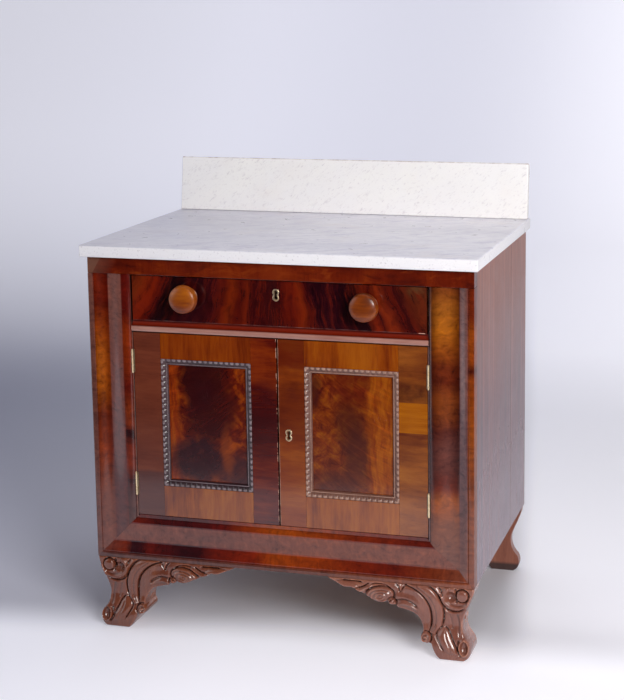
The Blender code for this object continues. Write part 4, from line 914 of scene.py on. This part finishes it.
def veined(look, colour, slope, curve, x0):
    """Fine curved lines, some lighter and some darker than the flame they cross."""
    lines = look.feather(slope, curve, x0, 130.0, look.around(24.0, 0.012))
    colour = colour.mix(lines * 0.5, (1.9, 1.9, 1.5, 1.0), "MULTIPLY")
    other = look.feather(slope * 0.8, curve, x0, 210.0, look.around(18.0, 0.014))
    return colour.mix(other * 0.5, (0.5, 0.42, 0.5, 1.0), "MULTIPLY")


def hearts(look, colour, bent, rows):
    """Soft ellipses of other tones, as (x, z, half width, half height, softness, share, tone)."""
    for *place, share, tone in rows:
        colour = colour.mix(look.blob(*place, bent) * share, tone)
    return colour


def flame_left(look, colour):
    """Left panel: dark hearts between an orange edge and a mottled right side."""
    bent = look.around(18.0, 0.030)
    streak = look.noise(look.mapped((1, 1, 0.07), source=bent), 130.0, 4.0, 0.6)
    orange = look.ramp(streak, ((0.3, (98, 26, 6)), (0.5, (138, 50, 7)), (0.7, (158, 72, 9))))
    mottle = look.noise(bent, 44.0, 4.0, 0.62, 0.5)
    colour = colour.mix(0.9, look.ramp(mottle, ((0.32, (52, 8, 8)), (0.48, (94, 24, 7)), (0.66, (146, 62, 9)))))
    colour = colour.mix(look.axis(0, bent).ease(-0.206, -0.222), orange)
    colour = colour.mix(look.axis(0, bent).ease(-0.070, -0.062, 0.8), orange)
    return veined(look, hearts(look, colour, bent, (
        (-0.160, 0.540, 0.046, 0.074, 0.26, 0.95, (46, 8, 10)),
        (-0.150, 0.465, 0.052, 0.060, 0.30, 0.92, (50, 9, 12)),
        (-0.112, 0.470, 0.022, 0.050, 0.60, 0.60, (64, 14, 10)),
        (-0.176, 0.364, 0.062, 0.046, 0.34, 0.92, (44, 17, 25)),
        (-0.090, 0.340, 0.036, 0.036, 0.50, 0.85, (54, 24, 30)),
        (-0.112, 0.385, 0.011, 0.040, 0.60, 0.70, (126, 54, 18)),
    )), 0.45, 2.2, -0.20)


def flame_right(look, colour):
    """Right panel: orange straight grain on the right, brown hearts down the middle."""
    bent = look.around(17.0, 0.030)
    streak = look.noise(look.mapped((1, 1, 0.07), source=bent), 120.0, 4.0, 0.6)
    orange = look.ramp(streak, ((0.3, (112, 40, 8)), (0.5, (142, 66, 10)), (0.7, (162, 86, 14))))
    mottle = look.noise(bent, 40.0, 4.0, 0.64, 0.6)
    colour = colour.mix(0.9, look.ramp(mottle, ((0.34, (74, 20, 10)), (0.5, (116, 46, 12)), (0.66, (146, 76, 16)))))
    colour = hearts(look, colour, bent, (
        (0.150, 0.535, 0.040, 0.040, 0.6, 0.70, (92, 26, 10)),
        (0.142, 0.450, 0.030, 0.050, 0.5, 0.75, (72, 28, 16)),
        (0.160, 0.395, 0.028, 0.060, 0.5, 0.80, (70, 28, 20)),
        (0.120, 0.330, 0.052, 0.030, 0.5, 0.75, (76, 36, 30)),
        (0.070, 0.520, 0.014, 0.034, 0.6, 0.80, (62, 18, 14))))
    return veined(look, colour.mix(look.axis(0, bent).ease(0.174, 0.192, 0.95), orange), -0.5, 2.0, 0.20)


# Tones of the cross-grained frame mouldings, whose greyish bands are painted reflection of the pale floor:
# (from, to) in millimetres from the outer edge, then (share of the length, colour)
BAND_TONES_AND_PAINTED_REFLECTIONS = {
    "left": (
        (-5, 11, (
            (0.0, (104, 62, 54)), (0.5, (98, 58, 50)), (1.0, (112, 70, 60)),
        )),
        (11, 39, (
            (0.0, (112, 60, 48)), (0.18, (104, 50, 36)), (0.3, (112, 44, 18)), (0.4, (126, 46, 10)),
            (0.5, (100, 34, 10)), (0.6, (148, 72, 10)), (0.72, (152, 74, 10)), (0.82, (130, 50, 8)),
            (0.9, (94, 22, 6)), (1.0, (102, 26, 5)),
        )),
        (39, 72, (
            (0.0, (98, 48, 42)), (0.3, (88, 36, 32)), (0.6, (108, 46, 36)), (1.0, (122, 62, 46)),
        )),
        (72, 89, (
            (0.05, (72, 46, 44)), (0.22, (66, 34, 32)), (0.28, (54, 8, 8)), (0.34, (108, 34, 10)),
            (0.41, (104, 30, 8)), (0.44, (34, 4, 8)), (0.46, (34, 4, 8)), (0.475, (112, 40, 16)),
            (0.53, (118, 44, 16)), (0.62, (84, 16, 8)), (0.68, (118, 36, 6)), (0.8, (128, 42, 6)),
            (0.88, (86, 14, 6)), (1.0, (84, 12, 6)),
        )),
        (89, 99, (
            (0.0, (124, 84, 74)), (1.0, (112, 70, 60)),
        )),
    ),
    "right": (
        (-5, 13, (
            (0.0, (116, 64, 48)), (0.2, (122, 62, 34)), (0.35, (116, 54, 20)), (0.5, (142, 68, 14)),
            (0.7, (130, 56, 12)), (0.73, (66, 16, 8)), (0.76, (136, 58, 12)), (0.86, (142, 64, 12)),
            (0.9, (102, 32, 8)), (1.0, (92, 28, 8)),
        )),
        (13, 31, (
            (0.0, (116, 70, 60)), (0.4, (92, 60, 62)), (0.8, (124, 86, 82)), (1.0, (110, 70, 64)),
        )),
        (31, 87, (
            (0.0, (106, 60, 50)), (0.1, (108, 64, 52)), (0.21, (112, 60, 38)), (0.26, (138, 66, 20)),
            (0.3, (150, 72, 12)), (0.33, (104, 34, 12)), (0.355, (86, 26, 12)), (0.4, (92, 44, 36)),
            (0.47, (96, 50, 42)), (0.53, (80, 32, 22)), (0.575, (112, 50, 18)), (0.64, (124, 58, 18)),
            (0.69, (92, 32, 12)), (0.74, (100, 38, 12)), (0.79, (136, 66, 14)), (0.86, (166, 92, 16)),
            (0.93, (152, 86, 24)), (1.0, (108, 48, 20)),
        )),
        (87, 99, (
            (0.0, (102, 78, 80)), (1.0, (110, 84, 84)),
        )),
    ),
    "bottom": (
        (-5, 11, (
            (0.0, (84, 50, 46)), (0.5, (92, 50, 40)), (1.0, (136, 72, 46)),
        )),
        (11, 36, (
            (0.02, (104, 50, 40)), (0.07, (110, 34, 14)), (0.09, (44, 6, 14)), (0.12, (40, 5, 12)),
            (0.145, (96, 18, 10)), (0.17, (70, 8, 8)), (0.21, (58, 6, 10)), (0.24, (36, 4, 12)),
            (0.28, (52, 5, 10)), (0.32, (92, 18, 6)), (0.42, (118, 28, 5)), (0.48, (142, 56, 6)),
            (0.6, (136, 48, 6)), (0.7, (112, 30, 6)), (0.8, (96, 22, 8)), (0.9, (112, 44, 18)),
            (0.97, (120, 60, 40)),
        )),
        (36, 76, (
            (0.0, (124, 66, 52)), (0.3, (114, 62, 52)), (0.6, (126, 66, 48)), (1.0, (128, 70, 54)),
        )),
        (76, 99, (
            (0.11, (98, 22, 8)), (0.16, (70, 10, 8)), (0.22, (52, 5, 12)), (0.28, (66, 8, 10)), (0.36, (88, 14, 8)),
            (0.42, (128, 44, 5)), (0.5, (150, 64, 5)), (0.6, (136, 52, 6)), (0.7, (118, 36, 6)),
            (0.8, (100, 26, 8)), (0.88, (88, 18, 8)),
        )),
    ),
}


def moulding_figure_and_painted_light(word):
    """Bands of a frame moulding, mottled and streaked across its length; greyish bands are painted reflection of the
    floor, and painted shade darkens the edges of the stiles' cove and wide band and the returns inside the gap.
    """
    def paint(look, colour):
        bent = look.around(14.0, 0.024)
        if word == "bottom":
            reach = look.z - CASE_BOTTOM
            share = look.axis(0, bent).rise(-CASE_HALF, CASE_HALF)
            lines = look.mapped((1, 1, 0.10), source=bent)
        else:
            reach = CASE_HALF - abs(look.x)
            share = look.axis(2, bent).rise(CASE_BOTTOM, high("frame_moulding_left").z)
            lines = look.mapped((0.10, 1, 1), source=bent)
        soft = 1.4 * MM
        # the greyish band tones are painted reflection of the floor
        for start, end, stops in BAND_TONES_AND_PAINTED_REFLECTIONS[word]:
            tone = look.ramp(share, stops)
            rise = reach.rise(start * MM - soft, start * MM + soft)
            inside = rise * reach.remap(end * MM - soft, end * MM + soft, 1.0, 0.0)
            colour = colour.mix(inside * 0.9, tone)
        mottle = look.noise(bent, 52.0, 4.0, 0.64, 1.0)
        streak = look.noise(lines, 120.0, 4.0, 0.62)
        light = (mottle.rise(0.52, 0.72, 0.6) + streak.rise(0.52, 0.74, 0.5)).held()
        dark = (mottle.rise(0.48, 0.28, 0.7) + streak.rise(0.48, 0.28, 0.5)).held()
        colour = colour.mix(light, (1.6, 1.6, 1.4, 1.0), "MULTIPLY")
        colour = colour.mix(dark, (0.42, 0.36, 0.42, 1.0), "MULTIPLY")
        if word == "right":
            # painted shade: the wide band darkens toward its edges, as if rounded
            off = abs(reach - 0.059)
            rim = off.ease(0.004, 0.027, 0.9) * off.remap(0.0285, 0.0300, 1.0, 0.0)
            colour = colour.mix(rim * look.z.rise(0.27, 0.36), (0.40, 0.32, 0.36, 1.0), "MULTIPLY")
        if word == "left":
            # painted shade over the cove next to the fillet
            rim = reach.ease(0.022, 0.036, 0.6) * reach.remap(0.0375, 0.0395, 1.0, 0.0)
            colour = colour.mix(rim * look.z.rise(0.27, 0.36), (0.50, 0.22, 0.34, 1.0), "MULTIPLY")
        # painted shade on the returns inside the gap, mid-brown at the bottom
        shade = reach.rise(0.086, 0.087) * look.y.rise(FRONT + 4.7 * MM, FRONT + 5.3 * MM)
        return colour.mix(shade, (78, 26, 14) if word == "bottom" else (26, 9, 8))
    return paint


def strip_painted_reflection(look, colour):
    """Pale face along the lower half of the strip: painted reflection of the floor on its rounded nose."""
    pale = look.noise(look.mapped((0.15, 1, 1)), 60.0, 4.0, 0.6)
    tone = look.ramp(pale, ((0.35, (156, 106, 94)), (0.65, (182, 134, 120))))
    colour = colour.mix(look.within(2, 0.6345, 0.6415, 0.0012) * 0.6, (140, 38, 14))
    # painted reflection of the floor
    return colour.mix(look.within(2, 0.6215, 0.6338, 0.0012), tone)


def rail_end(look, colour):
    """Clouds drawn out along the rail, and a greyer left end."""
    place = look.x + (look.z - 0.755) * -0.6
    end = place.remap(-0.3765, -0.3745, 0.35, 0.0) + place.remap(-0.375, -0.335, 0.35, 0.0)
    cloud = look.noise(look.mapped((0.35, 1, 1), source=look.around(9.0, 0.02)), 42.0, 4.0, 0.62, 0.8)
    colour = colour.mix(cloud.rise(0.52, 0.70, 0.7), (44, 8, 9))
    colour = colour.mix(cloud.rise(0.46, 0.32, 0.6), (136, 54, 16))
    return colour.mix(end, (122, 86, 70))


def side_seam_and_painted_sheen(look, colour):
    """Streaked board with the joint between its two widths, and painted reflection: lilac-grey over the lower part,
    warm brown over the upper part.
    """
    streak = look.noise(look.mapped((1, 1, 0.012)), 70.0, 5.0, 0.7)
    colour = colour.mix(streak.rise(0.50, 0.66, 0.85), (34, 12, 10))
    colour = colour.mix(streak.rise(0.46, 0.34, 0.6), (150, 84, 60))
    # painted reflection: lilac-grey sheen low down, warm brown toward the top
    colour = colour.mix(look.z.rise(0.72, 0.20, 0.28), (150, 138, 172))
    colour = colour.mix(look.z.rise(0.45, 0.78, 0.35), (186, 100, 62))
    return colour.mix(look.within(1, 0.1100, 0.1140) * 0.9, (14, 5, 5))


def worn_meeting_and_gap_shade(side):
    """Rubbed arris where the doors meet, with a few chips; the edges inside the gap get a dark brown, partly their
    stain and partly painted shade of the gap.
    """
    def paint(look, colour):
        away = look.x * side
        face = look.y.rise(FACE + 0.7 * MM, FACE + 0.4 * MM)
        rough_edge = look.noise(look.coords, 70.0, 3.0, 0.7)
        near = look.calc("LESS_THAN", away, rough_edge.remap(0.42, 0.72, 0.0021, 0.0034 if side < 0 else 0.0026))
        shown = rough_edge.rise(0.50, 0.58, 0.9) if side < 0 else rough_edge.remap(0.42, 0.50, 0.35, 0.8)
        # painted shade in the gap, partly the edges' stain: a dark brown on the edges inside it
        inside = look.calc("LESS_THAN", away, 0.0040) * (1.0 - face)
        colour = colour.mix(inside, (50, 24, 16))
        return colour.mix(near * face * shown, (190, 146, 124))
    return paint


def inner_stile_left(look, colour):
    colour = colour.mix(look.blob(-0.030, 0.455, 0.05, 0.070, 0.5, look.around(12.0, 0.03)) * 0.6, (48, 8, 14))
    return worn_meeting_and_gap_shade(-1)(look, colour)


def inner_stile_right(look, colour):
    """Redder at the top, then orange, then brown."""
    bent = look.around(12.0, 0.02)
    colour = colour.mix(look.axis(2, bent).ease(0.555, 0.570, 0.75), (92, 24, 8))
    colour = colour.mix(look.blob(0.03, 0.475, 0.06, 0.05, 0.4, bent) * 0.5, (84, 24, 12))
    return worn_meeting_and_gap_shade(1)(look, colour)


def outer_stile_left(look, colour):
    """The lower end of this stile is a darker piece of veneer."""
    return colour.mix(look.within(2, 0.10, 0.335, 0.003) * 0.6, (58, 28, 30))


def crest_painted_highlight(word, pale):
    """Ripple crests and a thread along the inner bead painted pale over the dark base: painted highlight."""
    lo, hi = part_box("ripple_moulding_" + word)
    bed, half = hi.y, (hi - lo) / 2

    def paint(look, colour):
        crest = look.y.rise(bed - 8.1 * MM, bed - 9.1 * MM, 0.85)
        reach = [half[k] - abs(look.axis(k) - (lo[k] + half[k])) for k in (0, 2)]
        inward = look.calc("MINIMUM", *reach)
        off = abs(inward - 10.4 * MM)
        thread = off.remap(0.6 * MM, 1.0 * MM, 0.7, 0.0)
        patch = look.noise(look.coords, 34.0, 3.0, 0.6).remap(0.35, 0.6, 0.5, 1.0)
        # painted highlight on the crests and along the inner bead
        worn = look.calc("MAXIMUM", crest, thread)
        return colour.mix(worn * patch, pale)
    return paint


def darker_toward_floor(look, colour):
    # the lowest 20 mm darken to a dark grey
    return colour.mix(look.z.rise(0.020, 0.013, 0.85), (40, 34, 36))


def patched(look, colour):
    """A piece of paler veneer let into the right door's outer stile."""
    mask = look.within(0, 0.2445, 0.4) * look.within(2, 0.449, 0.509)
    grain = look.noise(look.mapped((0.12, 1, 1)), 120.0, 4.0, 0.6)
    pale = look.ramp(grain, ((0.3, (146, 74, 8)), (0.7, (172, 98, 16))))
    shade = look.within(2, 0.509, 0.548, 0.006) * look.noise(look.coords, 60.0, 3.0, 0.6)
    colour = colour.mix(shade, (44, 10, 16))
    return colour.mix(mask, pale)


def marble(name, seed, turn, stretch, tones, edge=False):
    """Grey-white marble; turn leans its flecks and stretch draws them out. On the slab, painted shade greys it toward
    the left and painted light turns its faces below the top near-white.
    """
    look = Look(name)
    pale, white, grey = tones
    moved = look.mapped(move=(seed, seed * 0.7, seed * 1.9))
    bent = look.warp(moved, 6.0, 0.02)
    drawn = look.mapped(stretch, source=look.mapped(turn=turn, source=bent))
    colour = look.ramp(look.noise(drawn, 9.0, 4.0, 0.6, 0.4), ((0.35, pale), (0.65, white)))
    colour = colour.mix(look.noise(drawn, 150.0, 5.0, 0.66, 0.5).rise(0.53 if edge else 0.57, 0.68, 0.5), grey)
    colour = colour.mix(look.noise(drawn, 300.0, 4.0, 0.6, 0.3).rise(0.56 if edge else 0.58, 0.72, 0.55), grey)
    stain = look.noise(moved, 8.0, 3.0, 0.6).rise(0.56, 0.74, 0.22 if edge else 0.10)
    colour = colour.mix(stain, (232, 214, 194))
    if edge:
        top = high("marble_top").z
        slant = look.mapped(turn=(0, 0, radians(-32)), source=bent)
        wave = look.noise(look.mapped((0.30, 1, 1), source=slant), 62.0, 5.0, 0.68, 0.7)
        colour = colour.mix(wave.rise(0.50, 0.66, 0.55), (188, 182, 204))
        colour = colour.mix(wave.rise(0.46, 0.34, 0.5), (240, 236, 243))
        # painted shade toward the left, painted light on the faces below the top
        colour = colour.mix(look.x.ease(0.10, -0.40, 0.5), (190, 188, 203))
        colour = colour.mix(look.z.rise(top - 1.0 * MM, top - 2.4 * MM, 0.9), (250, 248, 250))
        nick = look.noise(moved, 240.0, 4.0, 0.7).rise(0.60, 0.66) * look.within(2, top - 23 * MM, top - 1 * MM)
        colour = colour.mix(nick * 0.5, (176, 168, 176))
    else:
        arris = high("marble_backsplash").z
        colour = colour.mix(look.axis(0, bent).rise(0.24, 0.40, 0.25), (244, 232, 214))
        grime = look.noise(moved, 30.0, 4.0, 0.7).remap(0.40, 0.60, 0.2, 0.75)
        colour = colour.mix(look.z.rise(arris - 2.6 * MM, arris - 1.6 * MM) * grime, (172, 150, 148))
    return look.finished({
        "Base Color": colour, "Roughness": look.noise(moved, 40.0, 4.0, 0.6).remap(0.3, 0.7, 0.26, 0.42),
        "Normal": look.bump(look.noise(moved, 220.0, 4.0, 0.6), 0.05, 0.0004),
        "Subsurface Weight": 0.06, "Subsurface Radius": (0.008, 0.007, 0.006), "IOR": 1.48})


def pine(name, grain, seed):
    look = Look(name)
    moved = look.mapped(move=(seed, seed * 1.7, seed * 0.6))
    bent = look.warp(moved, 3.0, 0.03)
    drawn = look.mapped(tuple(0.05 if s != 1.0 else 1.0 for s in GRAIN[grain]), source=bent)
    rings = look.noise(drawn, 60.0, 3.0, 0.5)
    fine = look.noise(look.mapped(GRAIN[grain], source=bent), 300.0, 4.0, 0.6)
    colour = look.ramp(rings, ((0.35, (150, 108, 66)), (0.5, (182, 140, 92)), (0.65, (196, 156, 106))))
    colour = colour.mix(fine * 0.25, (112, 76, 44))
    colour = colour.mix(look.noise(moved, 6.0, 4.0, 0.6).rise(0.5, 0.75, 0.55), (96, 66, 42))
    return look.finished({
        "Base Color": colour, "Roughness": fine.remap(0.3, 0.7, 0.6, 0.82), "Normal": look.bump(fine, 0.25, 0.0004)})


def metal(name, bright, dull, rough, seed, grime=False, metallic=1.0):
    look = Look(name)
    moved = look.mapped(move=(seed, seed, seed))
    tarnish = look.noise(moved, 130.0, 5.0, 0.65, 0.4)
    scratch = look.noise(look.mapped((1, 1, 0.08), source=moved), 900.0, 3.0, 0.6)
    colour = look.mix(tarnish.rise(0.42, 0.64), bright, dull)
    if grime:
        # painted shade along the knuckles' sides, with grime: the colour darkens away from the pin
        pin = (low("hinge_upper_right_pin").x + high("hinge_upper_right_pin").x) / 2
        colour = colour.mix(abs(abs(look.x) - pin).rise(1.2 * MM, 1.9 * MM, 0.7), (60, 36, 22))
    return look.finished({
        "Base Color": colour, "Roughness": tarnish.remap(0.3, 0.7, rough, rough + 0.22) + scratch * 0.08,
        "Normal": look.bump(tarnish + scratch * 0.4, 0.12, 0.0002), "Metallic": metallic})


def give(obj, material):
    obj.data.materials.clear()
    obj.data.materials.append(material)


PIECES = {}


def build_pieces():
    PIECES["frame_left"], PIECES["frame_right"], PIECES["frame_bottom"] = frame_pieces()
    PIECES["strip"] = strip_piece()
    for word, side in SIDES:
        PIECES["ripple_" + word] = ripple_piece(word)
        PIECES["knob_" + word] = knob_piece(word)
        PIECES["foot_" + word] = foot_piece(word, side)
        PIECES["rear_" + word] = rear_foot_piece(word, side)
    PIECES["ring_drawer"] = escutcheon_piece("drawer_escutcheon", "drawer")
    PIECES["ring_door"] = escutcheon_piece("door_escutcheon", "right_door")
    PIECES["slab"] = slab_piece("marble_slab", "marble_top")
    PIECES["splash"] = slab_piece("marble_splash", "marble_backsplash", SPLASH_LEAN, SPLASH_THICK, SPLASH_TALL)


# Tones of single pieces: dark, middle and light
# the right foot's paler, greyer copy of the carved tones is painted sheen
CARVE_PAINTED_PALER = ((78, 38, 30), (134, 80, 64), (170, 112, 86))
SAWN = ((88, 44, 32), (138, 82, 64), (170, 114, 90))
TURNED = ((70, 22, 2), (124, 52, 2), (164, 86, 6))
# (seed, tones, tone of the painted highlight); the two doors' strips are one wood, and their tones differ as painted
# light
RIPPLES = {"left": (7.0, ((26, 10, 14), (48, 24, 30), (72, 42, 46)), (150, 134, 138)),
           "right": (7.5, ((84, 50, 40), (116, 76, 62), (142, 102, 84)), (188, 150, 132))}

# Veneers of the door frames: (node, tones, seed, figure, what is added)
STILES = (
    ("door_left_outer_stile", ((84, 34, 22), (110, 52, 34), (130, 68, 44)), 13.0, 0.35, outer_stile_left),
    ("door_left_inner_stile", RED, 14.0, 0.7, inner_stile_left),
    ("door_right_inner_stile", ((76, 20, 8), (126, 52, 12), (154, 80, 18)), 15.0, 0.8, inner_stile_right),
    ("door_right_outer_stile", ((96, 40, 18), (142, 76, 26), (168, 102, 38)), 16.0, 0.7, patched),
)
RAILS = (
    ("door_left_top_rail", ((84, 22, 5), (128, 50, 7), (150, 70, 10)), 17.0),
    ("door_right_top_rail", ((98, 30, 4), (138, 60, 7), (162, 84, 12)), 18.0),
    ("door_left_bottom_rail", ORANGE, 19.0),
    ("door_right_bottom_rail", AMBER, 20.0),
)

# Plain softwood: which way its grain runs
BOARDS = {"back_board_1": "Z", "back_board_2": "Z", "bottom_board": "X", "divider_rail": "X", "drawer_back": "X",
          "drawer_bottom": "X", "drawer_runner_left": "Y", "drawer_runner_right": "Y", "drawer_side_left": "Y",
          "drawer_side_right": "Y", "top_batten": "Y", "top_rail_rear": "X"}


def dress():
    """Gives every piece its look."""
    looks = {}
    carve = {"figure": 0.35, "streak": 0.35, "rough": (0.16, 0.30), "worn": 0.55, "hollow_shade": 0.85}
    looks["foot_left"] = mahogany("carved_mahogany", CARVE, "Z", 1.0, **carve)
    looks["foot_right"] = mahogany("carved_mahogany_2", CARVE_PAINTED_PALER, "Z", 1.5, **carve)
    looks["rear_left"] = looks["rear_right"] = mahogany(
        "sawn_mahogany", SAWN, "Z", 2.0, 0.3, 0.4, rough=(0.3, 0.45), coat=0.15, extra=darker_toward_floor)
    for seed, word in enumerate(("left", "right", "bottom"), 3):
        looks["frame_" + word] = mahogany(
            "frame_veneer_" + word, RED, "Z" if word == "bottom" else "X", float(seed), 0.5, 0.4,
            patch=9.0, relief=0.35, coat=0.2, flank=0.3, extra=moulding_figure_and_painted_light(word))
    looks["strip"] = mahogany("strip_veneer", RED, "X", 6.0, 0.4, 0.4, coat=0.3, extra=strip_painted_reflection)
    for word, (seed, tones, pale) in RIPPLES.items():
        looks["ripple_" + word] = mahogany("rippled_wood_" + word, tones, "Z", seed, 0.4, 0.3, rough=(0.30, 0.42),
                                           coat=0.25, extra=crest_painted_highlight(word, pale))
    looks["knob_left"] = looks["knob_right"] = mahogany(
        "turned_wood", TURNED, "X", 8.0, 0.8, 0.8, rough=(0.26, 0.36), coat=0.15, veil=0.08, specular=0.4)
    brass = metal("old_brass", (252, 228, 190), (206, 170, 124), 0.25, 1.0)
    for name in ("ring_drawer", "ring_door", "drawer_bolt", "door_bolt", "left_door_bolt", "left_door_bolt_plate"):
        looks[name] = brass
    # one stone in two tones: the slab greyer, the splash near-white as painted light
    looks["slab"] = marble("marble_top_stone", 3.0, (0.0, 0.0, radians(4)), (0.16, 1.0, 1.0),
                           ((218, 215, 224), (234, 231, 237), (182, 178, 194)), True)
    looks["splash"] = marble("marble_splash_stone", 8.0, (0.0, radians(38), 0.0), (0.45, 1.0, 1.0),
                             ((249, 249, 254), (254, 254, 255), (200, 196, 208)))
    # True darkens the knuckles' sides: painted shade, with grime
    hinge = metal("hinge_brass", (252, 230, 190), (216, 184, 138), 0.3, 3.0, True, 0.6)
    looks.update({name: hinge for name in NODES if name.startswith("hinge_")})
    looks["drawer_lock"] = looks["door_lock"] = metal("lock_iron", (58, 54, 52), (30, 24, 22), 0.5, 2.0)
    looks["drawer_front"] = mahogany("drawer_veneer", FLAME, "Z", 9.0, 1.0, 0.35, 0.05, extra=drawer_figure)
    looks["top_rail_front"] = mahogany("top_rail_veneer", RAIL, "Z", 10.0, 0.6, 0.3, 0.06, coat=0.3, flank=0.4,
                                       extra=rail_end)
    for seed, (word, _) in enumerate(SIDES, 11):
        looks["side_panel_" + word] = mahogany("side_wood_" + word, BROWN, "Z", float(seed), 0.15, 0.7,
                                               rough=(0.22, 0.26), coat=0.0, relief=0.1, dull=0.16, extra=side_seam_and_painted_sheen)
    for number, (name, tones, seed, figure, extra) in enumerate(STILES, 1):
        looks[name] = mahogany(f"stile_veneer_{number}", tones, "X", seed, figure, 0.5, 0.04, extra=extra)
    for number, (name, tones, seed) in enumerate(RAILS, 1):
        looks[name] = mahogany(f"rail_veneer_{number}", tones, "Z", seed, 0.5, 0.9, 0.01)
    for seed, word, extra in ((21.0, "left", flame_left), (22.0, "right", flame_right)):
        looks[f"door_{word}_panel"] = mahogany("panel_veneer_" + word, FLAME, "Z", seed, 1.0, 0.4, 0.10,
                                               patch=11.0, coat=0.3, extra=extra)
    for seed, (name, grain) in enumerate(BOARDS.items(), 1):
        looks[name] = pine("pine_" + name, grain, float(seed))
    for name, material in looks.items():
        give(PIECES[name] if name in PIECES else NODES[name], material)


# Floor, backdrop, light and camera
def stage():
    """Paper that sweeps up behind the stand; a painted glow shows it paler than it lights, its own colour is painted
    darker to the left as shade, and mirrored it darkens as a painted reflection of a dark room.
    """
    front, bend_at, bend, tall, half, steps = -6.0, 2.2, 2.6, 9.0, 9.0, 24
    run = [(front, 0.0), (bend_at, 0.0)]
    for k in range(1, steps + 1):
        a = pi / 2 * k / steps
        run.append((bend_at + bend * sin(a), bend * (1 - cos(a))))
    run.append((bend_at + bend, tall))
    verts = [(x, y, z) for x in (-half, half) for y, z in run]
    count = len(run)
    floor = piece("backdrop", verts, [(i, i + 1, count + i + 1, count + i) for i in range(count - 1)], 60)
    look = Look("paper")
    x, y = look.x, look.y
    # painted shade: the paper's own colour darkens toward the left
    pale = look.mix(x.ease(-1.8, 1.0), (184, 186, 205), (231, 230, 236))
    # painted light: a glow on camera, transmission and glossy rays lifts the paper before the stand, beside it and
    # far behind it
    amount = x.remap(-0.5, -0.1, 0.44, 0.53) * x.remap(0.2, 0.7, 1.0, 0.88)
    ahead = (y - look.calc("MINIMUM", x, 0.0) * 0.14).ease(-0.08, -0.28) * amount
    aside = (x + y * 0.17).ease(0.39, 0.48) * y.ease(-0.36, 0.05, 0.38)
    aside = aside * (y.remap(0.3, 1.6, 1.0, 0.55) * y.remap(2.4, 3.3, 1.0, 0.0))
    beyond = y.ease(1.3, 3.9) * x.remap(-1.8, -0.2, 0.57, 0.25, True)
    camera_ray, through_ray, mirror_ray = (
        look.read("ShaderNodeLightPath", output=f"Is {word} Ray") for word in ("Camera", "Transmission", "Glossy"))
    look.finished({
        "Base Color": look.mix(look.noise(look.coords, 0.8, 2.0, 0.5) * 0.1, pale, (214, 213, 226)),
        "Roughness": 0.9, "Specular IOR Level": 0.2, "Emission Color": (236, 235, 242),
        "Emission Strength": (ahead + aside + beyond) * (camera_ray + through_ray + mirror_ray).held()})
    # painted reflection: mirrors find it dark where the room lies behind the photographer
    room = y.ease(-1.10, -1.30, 0.78) + y.ease(-1.3, -2.0, 0.22)
    dark = look.read("ShaderNodeBsdfDiffuse", {"Color": (40, 40, 46)})
    both = look.read("ShaderNodeMixShader", {0: room * mirror_ray, 1: Value(look, look.shader.outputs[0]), 2: dark})
    look.feed(look.out.inputs["Surface"], both)
    give(floor, look.material)


def lamp(name, place, aim, size, power, colour):
    data = bpy.data.lights.new(name, "AREA")
    data.shape = "RECTANGLE"
    data.size, data.size_y = size
    data.energy = power
    data.color = colour
    obj = placed(name, data)
    obj.location = place
    obj.rotation_euler = (Vector(aim) - Vector(place)).to_track_quat("-Z", "Y").to_euler()
    obj.visible_camera = False
    return obj


def light():
    world = bpy.data.worlds.new("soft room")
    bpy.context.scene.world = world
    world.use_nodes = True
    back = world.node_tree.nodes["Background"]
    back.inputs["Color"].default_value = (0.80, 0.82, 0.92, 1.0)
    back.inputs["Strength"].default_value = 0.08
    # the room beyond the paper is pale where it is seen and dim where it lights
    tree = world.node_tree
    seen = tree.nodes.new("ShaderNodeBackground")
    seen.inputs["Color"].default_value = srgb(224, 224, 236)
    path, both = tree.nodes.new("ShaderNodeLightPath"), tree.nodes.new("ShaderNodeMixShader")
    tree.links.new(path.outputs["Is Camera Ray"], both.inputs[0])
    tree.links.new(back.outputs[0], both.inputs[1])
    tree.links.new(seen.outputs[0], both.inputs[2])
    tree.links.new(both.outputs[0], tree.nodes["World Output"].inputs["Surface"])
    lamp("key", (2.5, -3.0, 1.9), (0, 0, 0.4), (1.5, 1.5), 130, (1.0, 0.985, 0.97))
    lamp("fill", (-3.2, -1.8, 1.8), (0, 0, 0.4), (3.0, 2.4), 25, (0.94, 0.95, 1.0))
    card = lamp("card", (-1.3, -0.55, 0.8), (0.0, -0.55, 0.8), (1.6, 1.7), 4.2, (0.98, 0.96, 0.97))
    card.visible_diffuse = False
    lamp("top", (0.1, 0.6, 3.2), (0, 0.1, 0.0), (2.4, 2.0), 33, (0.97, 0.975, 1.0))
    back = lamp("backdrop", (2.2, 1.9, 3.4), (0.4, 4.6, 1.0), (2.0, 2.0), 40, (0.97, 0.97, 1.0))
    back.data.spread = radians(105)


def camera():
    yaw, pitch, roll = radians(15.337), radians(9.204), radians(-0.493)
    forward = Vector((-sin(yaw) * cos(pitch), cos(yaw) * cos(pitch), -sin(pitch)))
    right = Vector((cos(yaw), sin(yaw), 0))
    up = right.cross(forward)
    right, up = cos(roll) * right + sin(roll) * up, -sin(roll) * right + cos(roll) * up
    data = bpy.data.cameras.new("camera")
    data.sensor_fit = "AUTO"
    focal_pixels, photo_height, sensor = 1617.4, 700.0, 36.0
    data.sensor_width = sensor
    data.lens = focal_pixels * sensor / photo_height
    data.shift_x, data.shift_y = -0.10, -0.15
    data.clip_end = 60
    cam = placed("camera", data)
    matrix = Matrix((right, up, -forward)).transposed().to_4x4()
    matrix.translation = Vector((1.0163, -3.1747, 1.3057))
    cam.matrix_world = matrix
    bpy.context.scene.camera = cam


build_pieces()
dress()
stage()
light()
camera()
bpy.context.scene.view_settings.view_transform = "Standard"
